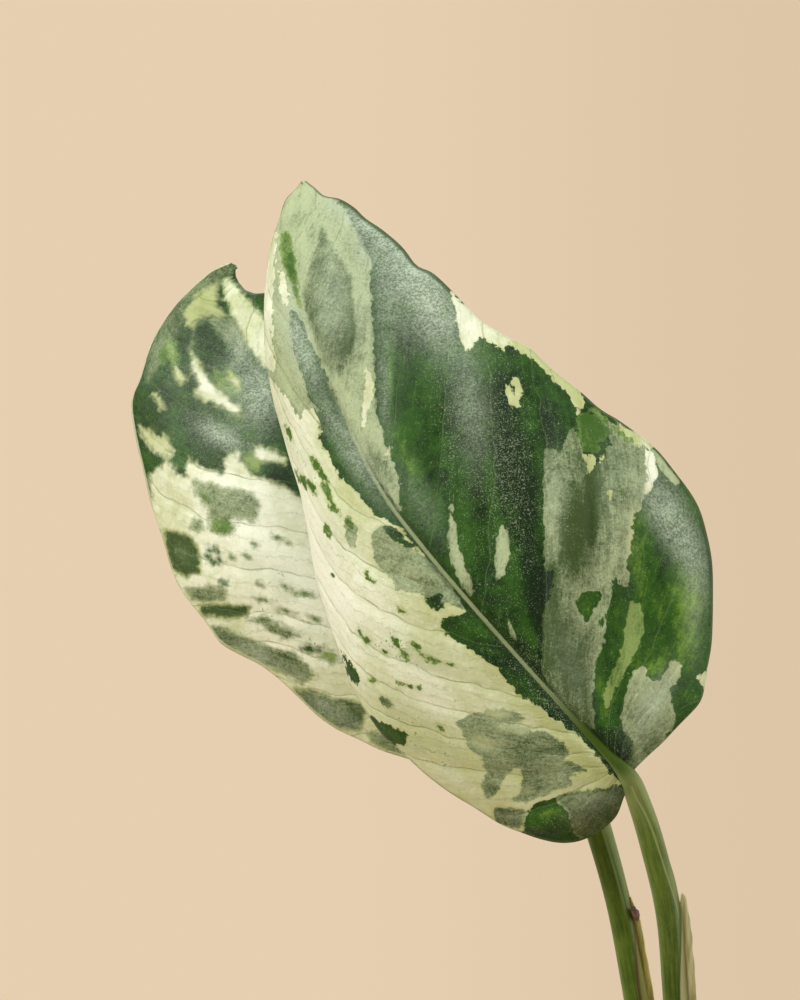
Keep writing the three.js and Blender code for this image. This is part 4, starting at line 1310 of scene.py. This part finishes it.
def petiole_material(name, dark, light, seam, clasp):
    """Smooth green skin with fine lengthwise lines, painted light on its flanks and knee and painted shade
    on the midrib's right side, and the sheath's root on its right side.
    """
    made, tree, shader = new_material(name, specular=0.2)
    place = millimetres(tree)
    where, turn, ridge = attribute(tree, "place"), attribute(tree, "turn"), attribute(tree, "ridge")
    spread = over_plane(tree, (turn, 9.0), (where, 14.0), 0.0)
    lines = cloud(tree, spread, 1.0, detail=4.0)
    blotches = cloud(tree, place, 0.35, detail=4.0)
    grains = cloud(tree, place, 3.0, detail=3.0)
    share = add_up(tree, (lines, 0.9), (blotches, 0.5), (grains, 0.2))
    colour = blend(tree, between(tree, share, 0.55, 1.05), dark, light)
    # Both flanks lighter than the middle: painted light where the side lamps would catch them
    right = between(tree, turn, -0.3, -1.3)
    colour = tinted(tree, colour, right, 0.6, PAINTED_LIGHT_RIGHT_FLANK)
    left = between(tree, turn, 0.7, 1.3)
    colour = tinted(tree, colour, left, 0.5, PAINTED_LIGHT_LEFT_FLANK)
    # The midrib darker on its right side and lighter on its left: painted shade and painted light
    rib_green = blend(tree, between(tree, turn, 0.1, 1.1), *RIB_SHADED_AND_LIT_GREENS)
    rib_colour = blend(tree, between(tree, where, 1.14, 1.3), rib_green, RIB_TIP)
    colour = tinted(tree, colour, between(tree, where, 0.95, 1.02), 0.85, rib_colour)
    # A paler band round the knee: painted light that lifts the shadow of the blade above it
    knee_light = times(tree, between(tree, where, 0.78, 0.92), between(tree, where, 1.05, 0.98))
    colour = tinted(tree, colour, knee_light, 0.26, KNEE_PAINTED_LIGHT)
    on_ridge = between(tree, calc(tree, "ABSOLUTE", ridge), 0.14, 0.03, 0.0, 0.5)
    on_ridge = times(tree, on_ridge, between(tree, where, 0.64, 0.74))
    colour = blend(tree, on_ridge, colour, PALE_RIDGE)
    low = between(tree, where, 0.73, 0.7)
    past_line = calc(tree, "SUBTRACT", turn, between(tree, where, 0.72, 0.58, -1.25, -0.3))
    on_seam = times(tree, low, between(tree, past_line, 0.32, 0.02, 0.0, 0.75))
    on_clasp = times(tree, low, between(tree, past_line, 0.0, -0.16, 0.0, 0.9))
    colour = blend(tree, on_clasp, blend(tree, on_seam, colour, seam), clasp)
    tree.links.new(colour, shader.inputs["Base Color"])
    set_bump(tree, shader, add_up(tree, (lines, 1.0), (grains, 0.3)), 0.07)
    return made


def sheath_material(name, dark, light, groove):
    """Dry, finely lined skin, a little darker in the groove where it leaves the petiole: painted shade at
    the join.
    """
    made, tree, shader = new_material(name, 0.62, 0.2)
    place = millimetres(tree)
    lines = cloud(tree, place, 1.3, detail=4.0, distortion=0.3, stretch=(1, 1, 0.1))
    colour = blend(tree, between(tree, lines, 0.35, 0.68), dark, light)
    colour = blend(tree, between(tree, attribute(tree, "turn"), 0.74, 0.64, 0.0, 0.85), colour, groove)
    tree.links.new(colour, shader.inputs["Base Color"])
    set_bump(tree, shader, lines, 0.1)
    return made


def midrib_places(leaf, parts):
    """The midrib's centres and radii behind the blade, at these shares of its length."""
    known = np.array(MIDRIB)
    radius = np.interp(parts, known[:, 0], known[:, 1])
    sink = np.interp(parts, known[:, 0], known[:, 2])
    along = parts * MIDRIB_REACH
    rib = curve_at(leaf["rib"], along)
    held = np.clip(along, 0.005, 0.995)
    tangent = unit(curve_at(leaf["rib"], held + 0.002) - curve_at(leaf["rib"], held - 0.002))
    back = np.array([0.0, 1.0, 0.0]) - tangent[:, 1:2] * tangent
    return rib + unit(back) * sink[:, None], radius


def make_stalk(leaf, name, material):
    """The petiole and the midrib that carries on from it."""
    petiole = np.array(leaf["foot"] + leaf["stalk"], dtype=float)
    centres, radii = midrib_places(leaf, np.linspace(0, 1, 10) ** 1.2)
    points = np.vstack([petiole, np.column_stack([centres, radii])])
    share = len(petiole) / (len(points) - 1)
    fine = curve_at(points, np.linspace(0, 1, STALK_STEPS))
    bm = bmesh.new()
    heights, degrees = np.array(leaf["ridge"]).T

    def swell(place, turn):
        if place > 1:
            return 1.0
        height = np.interp(place, np.linspace(0, 1, len(petiole)), petiole[:, 2])
        off = turn - math.radians(np.interp(height, heights, degrees))
        raised = RIDGE_HEIGHT * math.exp(-(off / 0.2) ** 2)
        sunk = FURROW_DEPTH * math.exp(-((off - 0.45) / 0.25) ** 2)
        return 1 + raised - sunk

    add_stalk(bm, fine[:, :3], fine[:, 3], STALK_SIDES, 0.0, 1 / share, swell)
    bmesh.ops.recalc_face_normals(bm, faces=bm.faces)
    place_of, turn_of = bm.verts.layers.float["place"], bm.verts.layers.float["turn"]
    ridge_of = bm.verts.layers.float.new("ridge")
    for vert in bm.verts:
        height = vert.co.z
        off = vert[turn_of] - math.radians(np.interp(height, heights, degrees))
        vert[ridge_of] = off if vert[place_of] < 0.97 else 9.0
    bmesh.ops.scale(bm, verts=bm.verts, vec=(MM, MM, MM))
    return finished_mesh(name, bm, material)


def make_sheath(leaf, name, material):
    """The papery wing on the petiole's lower part: a thin sheet with a ragged top."""
    sheath = leaf["sheath"]
    bm = bmesh.new()
    bmesh.ops.create_grid(bm, x_segments=SHEATH_COLUMNS, y_segments=SHEATH_ROWS, size=1)
    across_of = bm.verts.layers.float.new("turn")
    petiole = np.array(leaf["stalk"], dtype=float)[:, :3]
    foot_way, top_way = np.array(sheath["foot_way"], float), np.array(sheath["top_way"], float)
    for vert in bm.verts:
        across = (vert.co.x + 1) / 2
        up = (vert.co.y + 1) / 2
        vert[across_of] = across
        up *= 1 - 0.03 * noise.noise(Vector((across * 4, 1.0, leaf["seed"]))) + sheath["lift"] * across
        way = unit(foot_way * (1 - up) + top_way * up)
        wide = sheath["foot_width"] + (sheath["width"] - sheath["foot_width"]) * float(smooth(0, 0.7, up))
        wide -= sheath["taper"] * float(smooth(0.92, 1.04, up))
        wide += 0.25 * noise.noise(Vector((up * 22, 5.0, leaf["seed"]))) * across
        centre = curve_at(petiole, np.array([0.02 + (sheath["top"] - 0.02) * up]))[0]
        curl = np.array([0.0, -SHEATH_CURL, 0.0]) * across ** 2 * math.sin(up * 9)
        vert.co = (centre + way * across * wide + curl) * MM
    made = finished_mesh(name, bm, material)
    wall = made.modifiers.new("Sheath thickness", "SOLIDIFY")
    wall.thickness = SHEATH_THICKNESS * MM
    wall.offset = 0
    as_shown(made)
    return made


def join_into(first, *others):
    """Makes one object of the parts that grew together."""
    chosen = [first, *others]
    with bpy.context.temp_override(active_object=first, object=first, selected_objects=chosen,
                                   selected_editable_objects=chosen):
        bpy.ops.object.join()
    return first


leaf_front = make_blade(FRONT_LEAF, "front_leaf", [
    upper_face("Front leaf, upper face", 0.1), under_face("Front leaf, underside", 0.1), rim_material(),
])
front_stalk = make_stalk(FRONT_LEAF, "front stalk", petiole_material(
    "Front petiole", dark=srgb(50, 72, 6), light=srgb(98, 112, 40), seam=srgb(46, 78, 12),
    clasp=srgb(166, 162, 114)))
front_sheath = make_sheath(FRONT_LEAF, "front sheath", sheath_material(
    "Front sheath", dark=srgb(154, 150, 100), light=srgb(204, 197, 154), groove=srgb(140, 138, 92)))
join_into(leaf_front, front_stalk, front_sheath)
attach(leaf_front, "root")
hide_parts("leaf_front")

# The older leaf stands behind the front one and grew the same way: blade, midrib and petiole in one piece.
# It is creamier and cups forward along its left margin.
BACK_LEAF = {
    "rib": [
        (-17.2, 14, 190.5), (-24.3, 15.5, 199.6), (-32, 17.5, 207.2), (-39.6, 20.5, 214.8),
        (-46.6, 24, 222.5), (-52.9, 28, 230.2), (-58.4, 32, 238.1), (-63.1, 36.5, 245.2),
        (-66.7, 41, 251.6), (-69.7, 45, 257.3), (-71.7, 48.5, 262.3), (-72, 51, 265.9),
        (-70.5, 53, 269.1),
    ],
    "right": [
        (-16, 14, 191.7), (-12.1, 18, 201.8), (-12.6, 22, 212.4), (-17.1, 26, 224), (-23.9, 30, 234.1),
        (-31.7, 34, 242), (-39.5, 38, 248.1), (-47.5, 42, 253.3), (-54.7, 45.5, 258.2),
        (-60.3, 48, 261.8), (-65.7, 50, 264.3), (-68.8, 52, 265.8), (-69.7, 53, 268.7),
    ],
    "left": [
        (-17, 14, 188.5), (-22.1, 15, 186.3), (-31.2, 18, 186.5), (-42.3, 22, 190.9), (-53.6, 27, 195.3),
        (-65.1, 31, 204.8), (-74.2, 35, 211.5), (-79.9, 39, 221), (-83.8, 43.5, 232.6),
        (-86.6, 48, 245.4), (-84.1, 51, 255.1), (-77.7, 52.5, 264.5), (-71, 53, 269.5),
    ],
    # How far the left and right halves bulge, by their width, and how pale the left margin is
    "belly": (0.12, 0.09),
    "left_margin": 0.9,
    "seed": 29.0,
    "stalk": [
        (2.0, 3.2, 119.5, 2.3), (0.4, 4.6, 125.5, 2.2), (-2.8, 6.8, 133.5, 2.05),
        (-5.6, 8.7, 143.5, 1.95), (-8, 10, 157.8, 1.9), (-10.1, 11, 169.1, 1.9),
        (-12.8, 12.2, 179.3, 2.0), (-15.4, 13.4, 187, 2.2),
    ],
    "foot": [(4.8, 0.4, 111.5, 1.6), (3.6, 1.8, 114.5, 2.4)],
    "sheath": {
        "top": 0.738, "width": 2.7, "foot_width": 5.0, "top_way": (1, -0.25, 0), "foot_way": (1, 0.3, 0),
        "lift": -0.005, "taper": 0.8,
    },
    "veins_right": FRONT_LEAF["veins_right"],
    "veins_left": FRONT_LEAF["veins_left"],
    "seen_right": [
        (263, 293), (256, 294), (250, 294), (242, 288), (236, 281), (230, 275), (232, 270), (236, 266),
    ],
    "seen_left": [
        (408, 759), (380, 750), (360, 740), (340, 731), (320, 718), (300, 699), (280, 680), (260, 665),
        (240, 655), (220, 643), (208, 625), (188, 600), (178, 585), (170, 565), (163, 540), (157, 522),
        (150, 500), (143, 470), (136, 440), (131, 410), (133, 395), (140, 380), (150, 347), (165, 320),
        (185, 296), (205, 277), (225, 264), (236, 266),
    ],
}
BACK_LEAF["ridge"] = [(119, -20), (150, -30), (187, -10)]
BACK_LEAF["marks"] = [
    ("cream", 0.4, [
        (151, 474), (163, 465), (165, 460), (172, 465), (177, 474), (184, 476), (189, 460), (203, 467),
        (223, 476), (227, 453), (240, 450), (240, 460), (254, 476), (275, 482), (292, 491), (310, 505),
        (420, 620), (560, 700), (640, 760), (600, 830), (420, 790), (330, 745), (230, 665), (170, 590),
        (150, 520),
    ]),
    # A darker cream on the shaded left margin: painted shade
    ("cream", -0.45, [
        (216, 284), (218, 307), (225, 314), (223, 317), (208, 315), (197, 319), (192, 329), (187, 326),
        (184, 315), (192, 300), (203, 288),
    ]),
    ("grey", -0.5, [
        (150, 345), (160, 322), (175, 302), (190, 290), (206, 276), (222, 262), (236, 262), (228, 276),
        (216, 284), (203, 290), (190, 302), (182, 318), (176, 335), (166, 345), (158, 365), (148, 380),
    ]),
    ("cream", 0.35, [
        (222, 280), (230, 279), (247, 300), (263, 317), (275, 330), (275, 372), (263, 364), (247, 346),
        (240, 326), (232, 315), (225, 298),
    ]),
    ("green", 0.1, [(248, 290), (275, 288), (275, 312), (263, 309)]),
    ("grey", 0.0, [
        (197, 322), (214, 318), (232, 320), (242, 335), (244, 352), (236, 366), (214, 368), (198, 362),
        (190, 345),
    ]),
    ("green", 0.0, [
        (194, 326), (206, 321), (216, 330), (232, 345), (236, 356), (228, 367), (212, 369), (199, 366),
        (192, 350),
    ]),
    ("lime", 0.0, [(214, 371), (230, 369), (240, 380), (240, 394), (228, 397), (217, 388)]),
    ("cream", 0.5, [(230, 370), (239, 381), (239, 388), (232, 386), (228, 377)]),
    ("cream", 0.55, [
        (191, 353), (197, 360), (206, 374), (216, 389), (240, 408), (242, 415), (230, 411), (213, 402),
        (203, 402), (196, 393), (199, 384), (192, 370),
    ]),
    ("cream", 0.3, [(176, 367), (186, 379), (182, 384), (176, 378)]),
    ("lime", 0.0, [(169, 339), (177, 342), (178, 356), (176, 367), (170, 364), (167, 350)]),
    ("cream", 0.4, [(152, 394), (157, 394), (166, 409), (160, 409)]),
    ("cream", 0.1, [
        (139, 426), (146, 427), (156, 435), (166, 436), (173, 451), (170, 458), (158, 454), (146, 444),
        (141, 433),
    ]),
    ("green", 0.5, [(146, 446), (153, 450), (162, 458), (160, 468), (152, 470), (145, 462)]),
    ("cream", 0.6, [(251, 445), (268, 449), (287, 456), (285, 463), (266, 462), (257, 458)]),
    ("lime", 0.1, [(243, 455), (252, 454), (266, 463), (268, 470), (252, 472), (245, 465)]),
    ("green", 0.0, [
        (262, 464), (280, 464), (296, 463), (305, 490), (295, 492), (275, 483), (259, 476),
    ]),
    ("grey", -0.1, [
        (191, 481), (216, 485), (230, 489), (251, 493), (261, 505), (255, 521), (234, 519), (230, 532),
        (210, 527), (208, 511), (197, 495),
    ]),
    ("lime", -0.1, [(211, 521), (224, 519), (236, 524), (234, 534), (220, 535), (212, 530)]),
    ("grey", 0.0, [(191, 520), (199, 519), (204, 526), (199, 532), (192, 529)]),
    ("grey", -1.4, [
        (163, 530), (176, 532), (187, 534), (195, 542), (200, 560), (200, 573), (186, 576), (176, 574),
        (168, 560),
    ]),
    ("green", 0.4, [(206, 546), (215, 546), (222, 552), (222, 563), (212, 566), (204, 558)]),
    ("cream", 0.1, [(211, 551), (216, 552), (217, 558), (212, 559)]),
    ("green", 0.4, [(218, 580), (228, 579), (227, 588), (219, 589)]),
    ("grey", -0.2, [(185, 588), (205, 586), (226, 590), (226, 600), (205, 602), (190, 600)]),
    ("grey", -1.2, [(198, 605), (225, 604), (249, 607), (248, 616), (225, 618), (203, 616)]),
    ("grey", -0.3, [
        (208, 627), (222, 627), (236, 634), (253, 640), (275, 649), (295, 652), (304, 664), (316, 676),
        (302, 684), (279, 670), (263, 664), (234, 650), (212, 642),
    ]),
    ("grey", -0.3, [
        (251, 619), (263, 615), (279, 623), (302, 636), (287, 639), (271, 633), (261, 625),
    ]),
    ("green", 0.1, [(299, 648), (308, 644), (324, 646), (321, 653), (304, 653)]),
    ("lime", 0.8, [(320, 652), (332, 650), (340, 658), (334, 664), (322, 661)]),
    ("grey", -0.5, [
        (292, 689), (314, 690), (332, 698), (361, 702), (367, 713), (359, 730), (340, 730), (320, 718),
        (302, 704),
    ]),
    ("grey", -0.4, [(367, 731), (385, 735), (408, 757), (392, 754), (371, 742)]),
]
BACK_LEAF["flecks"] = [
    ("lime", 285, 587, 4, 2.5, 70), ("lime", 293, 592, 5, 2.5, 60), ("lime", 304, 594, 6, 2, 10),
    ("lime", 261, 584, 3, 2, 30), ("lime", 286, 611, 7, 1.8, 15), ("lime", 277, 538, 4, 2, 40),
    ("lime", 288, 543, 3, 2, 40), ("lime", 255, 544, 3, 2, 40), ("lime", 316, 619, 5, 1.8, 20),
    ("lime", 247, 556, 3, 2, 40), ("lime", 262, 600, 4, 2, 20), ("lime", 232, 556, 3, 2, 30),
    ("lime", 163, 355, 4, 9, 0), ("lime", 205, 498, 4, 3, 30), ("lime", 236, 420, 6, 3, 30),
]
# Where a silvery highlight is painted into the colour, standing in for light on the wax
BACK_LEAF["painted_sheen"] = [
    (195, 395, 110, 60, 70, 0.16), (250, 400, 40, 20, 80, 0.35), (222, 436, 24, 10, 30, 0.95),
    (260, 392, 28, 16, 75, 0.9), (240, 350, 22, 14, 80, 0.6), (262, 656, 40, 8, 32, 0.35),
    (330, 712, 30, 9, 30, 0.4), (228, 400, 20, 10, 60, 0.3),
]
BACK_LEAF["white"] = [
    (262, 555, 120, 50, 58, 0.85), (300, 600, 60, 26, 60, 0.5), (262, 350, 60, 16, 66, 0.35),
    (275, 500, 40, 20, 30, 0.45), (205, 600, 50, 14, 60, 0.5), (285, 640, 50, 18, 50, 0.5),
    (205, 385, 50, 8, 40, 0.4), (148, 455, 40, 12, 78, 0.3),
]
# Where fine pale glints are painted on, standing in for light glittering on the leaf's cells
BACK_LEAF["painted_glints"] = [
    (200, 400, 60, 30, 70, 0.5),
]
BACK_LEAF["tone_and_painted_light"] = [
    (172, 352, 14, 5, 80, 0.3), (258, 462, 10, 8, 20, 0.6), (183, 552, 20, 14, 80, 0.3),
]
BACK_LEAF["gloom"] = [
    (278, 476, 16, 10, 20, 0.5), (205, 335, 20, 12, 80, 0.4), (196, 430, 30, 10, 30, 0.3),
]
BACK_LEAF["fleck_zones"] = [
    (280, 600, 40, 25, 40, 0.6), (250, 560, 40, 20, 30, 0.4), (310, 640, 40, 15, 30, 0.5),
]
BACK_LEAF["swells"] = [
    (260, 560, 110, 26, 62, 0.6), (200, 350, 60, 24, 70, 0.7), (166, 430, 70, 12, 78, 0.5),
]


def hidden_marks(values, seen, spot):
    """Marks what the front leaf hides in the picture, with blotches that grow in the same way."""
    outline = FRONT_LEAF["seen_right"] + FRONT_LEAF["seen_left"][::-1][1:]
    hidden = inside_distance(seen, outline) * PIXEL
    patch = cloud_at(np.column_stack([seen / 46, np.zeros(len(seen))]), 21.0)
    patch += 0.4 * cloud_at(spot * np.array([0.35, 1.0, 0.35]), 27.0)
    streak = cloud_at(np.column_stack([seen / 60, np.ones(len(seen))]), 33.0) + 0.5 * cloud_at(spot, 35.0)
    share = smooth(1.0, 5.0, hidden)
    values["cream"] = values["cream"] * (1 - share) + 5 * (patch - 0.05) * share
    values["grey"] = values["grey"] * (1 - share) + 5 * (streak - 0.1) * share


# The brown, dried-up corner at the top of the back leaf's sheath
NUB_PLACE = (-7.75, 9.3, 168.3)
NUB_SIZE = (0.6, 0.55, 1.15)
NUB_BROWNS = srgb(58, 38, 30), srgb(132, 98, 82)


def make_nub():
    """A tapering, creased lump that leans out from the petiole."""
    bm = bmesh.new()
    bmesh.ops.create_uvsphere(bm, u_segments=20, v_segments=14, radius=1)
    for vert in bm.verts:
        crease = 1 + 0.32 * noise.noise(vert.co * 2.2) - 0.25 * max(0.0, vert.co.z)
        along = vert.co.z * NUB_SIZE[2]
        vert.co = Vector((vert.co.x * NUB_SIZE[0], vert.co.y * NUB_SIZE[1], along)) * crease
        vert.co.x -= 0.3 * along
    bmesh.ops.translate(bm, verts=bm.verts, vec=NUB_PLACE)
    bmesh.ops.scale(bm, verts=bm.verts, vec=(MM, MM, MM))
    made, tree, shader = new_material("Dried nub", 0.7)
    spots = cloud(tree, millimetres(tree), 1.4, detail=3.0)
    colour = blend(tree, between(tree, spots, 0.35, 0.65), *NUB_BROWNS)
    tree.links.new(colour, shader.inputs["Base Color"])
    return finished_mesh("sheath nub", bm, made)


BACK_LEAF["hidden"] = hidden_marks
leaf_back = make_blade(BACK_LEAF, "back_leaf", [
    upper_face("Back leaf, upper face", 0.6), under_face("Back leaf, underside", 0.6), rim_material(),
])
back_stalk = make_stalk(BACK_LEAF, "back stalk", petiole_material(
    "Back petiole", dark=srgb(56, 80, 8), light=srgb(100, 118, 36), seam=srgb(86, 56, 44),
    clasp=srgb(118, 116, 48)))
back_sheath = make_sheath(BACK_LEAF, "back sheath", sheath_material(
    "Back sheath", dark=srgb(146, 140, 64), light=srgb(194, 182, 114), groove=srgb(112, 108, 46)))
sheath_nub = make_nub()
join_into(leaf_back, back_stalk, back_sheath, sheath_nub)
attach(leaf_back, "root")
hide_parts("leaf_back")

# The studio: a pale floor that falls away out of sight behind the plant, a plain peach backdrop and
# broad soft lights, the strongest from the upper left.
FLOOR_FLAT = 1.25
FLOOR_END = 8.0
FLOOR_FALL = 0.12
BLACK = srgb(0, 0, 0)
FLOOR_COLOUR = srgb(206, 186, 162)
PEACH = srgb(230, 207, 177), srgb(221, 198, 168)
SOFT_FILL = srgb(232, 236, 224)
LIGHT_AIM = Vector((-0.045, 0.005, 0.225))
LIGHTS = [
    ("Key light", (-1.03, -0.48, 0.98), 0.6, 14.0, (252, 255, 252)),
    ("Top light", (0.02, -0.3, 1.5), 0.6, 9.0, (252, 255, 253)),
    ("Rim light", (0.25, 0.75, 0.95), 0.5, 4.0, (253, 255, 252)),
    ("Side light", (1.0, -0.05, 0.45), 0.7, 6.0, (253, 255, 250)),
]


def make_floor():
    bm = bmesh.new()
    bmesh.ops.create_circle(bm, cap_ends=True, segments=96, radius=FLOOR_FLAT)
    rim = [edge for edge in bm.edges if edge.is_boundary]
    grown = bmesh.ops.extrude_edge_only(bm, edges=rim)["geom"]
    for vert in grown:
        if isinstance(vert, bmesh.types.BMVert):
            vert.co *= FLOOR_END / FLOOR_FLAT
            vert.co.z = -(FLOOR_END - FLOOR_FLAT) * FLOOR_FALL
    bmesh.ops.recalc_face_normals(bm, faces=bm.faces)
    made, tree, shader = new_material("Pale floor", 0.9, 0.0)
    here = node(tree, "TexCoord").outputs["Object"]
    away = node(tree, "VectorMath", {0: here}, operation="LENGTH").outputs["Value"]
    far = between(tree, away, 0.3, 1.05)
    tree.links.new(blend(tree, far, FLOOR_COLOUR, BLACK), shader.inputs["Base Color"])
    tree.links.new(blend(tree, far, BLACK, PEACH[0]), shader.inputs["Emission Color"])
    shader.inputs["Emission Strength"].default_value = 1.0
    return finished_mesh("floor", bm, made)


def backdrop():
    """Peach behind the plant, a little deeper on the right, and a soft even light on the plant itself."""
    world = bpy.data.worlds.new("Studio")
    world.use_nodes = True
    tree = world.node_tree
    tree.nodes.clear()
    way = node(tree, "SeparateXYZ", {0: node(tree, "TexCoord").outputs["Generated"]}).outputs
    deeper = times(tree, between(tree, way[0], -0.02, 0.085), between(tree, way[1], 0.5, 0.9))
    peach = blend(tree, deeper, *PEACH)
    seen = node(tree, "Background", {"Color": peach, "Strength": 1.0}).outputs[0]
    fill = node(tree, "Background", {"Color": SOFT_FILL, "Strength": 0.3}).outputs[0]
    path = node(tree, "LightPath").outputs["Is Camera Ray"]
    mixed = node(tree, "MixShader", {0: path, 1: fill, 2: seen}).outputs[0]
    tree.links.new(mixed, tree.nodes.new("ShaderNodeOutputWorld").inputs[0])
    return world


make_floor()
scene.world = backdrop()
for name, where, size, power, tint in LIGHTS:
    lamp = bpy.data.lights.new(name, "AREA")
    lamp.size = size
    lamp.energy = power
    lamp.color = srgb(*tint)[:3]
    light = bpy.data.objects.new(name, lamp)
    light.location = where
    light.rotation_euler = (LIGHT_AIM - Vector(where)).to_track_quat("-Z", "Y").to_euler()
    scene.collection.objects.link(light)
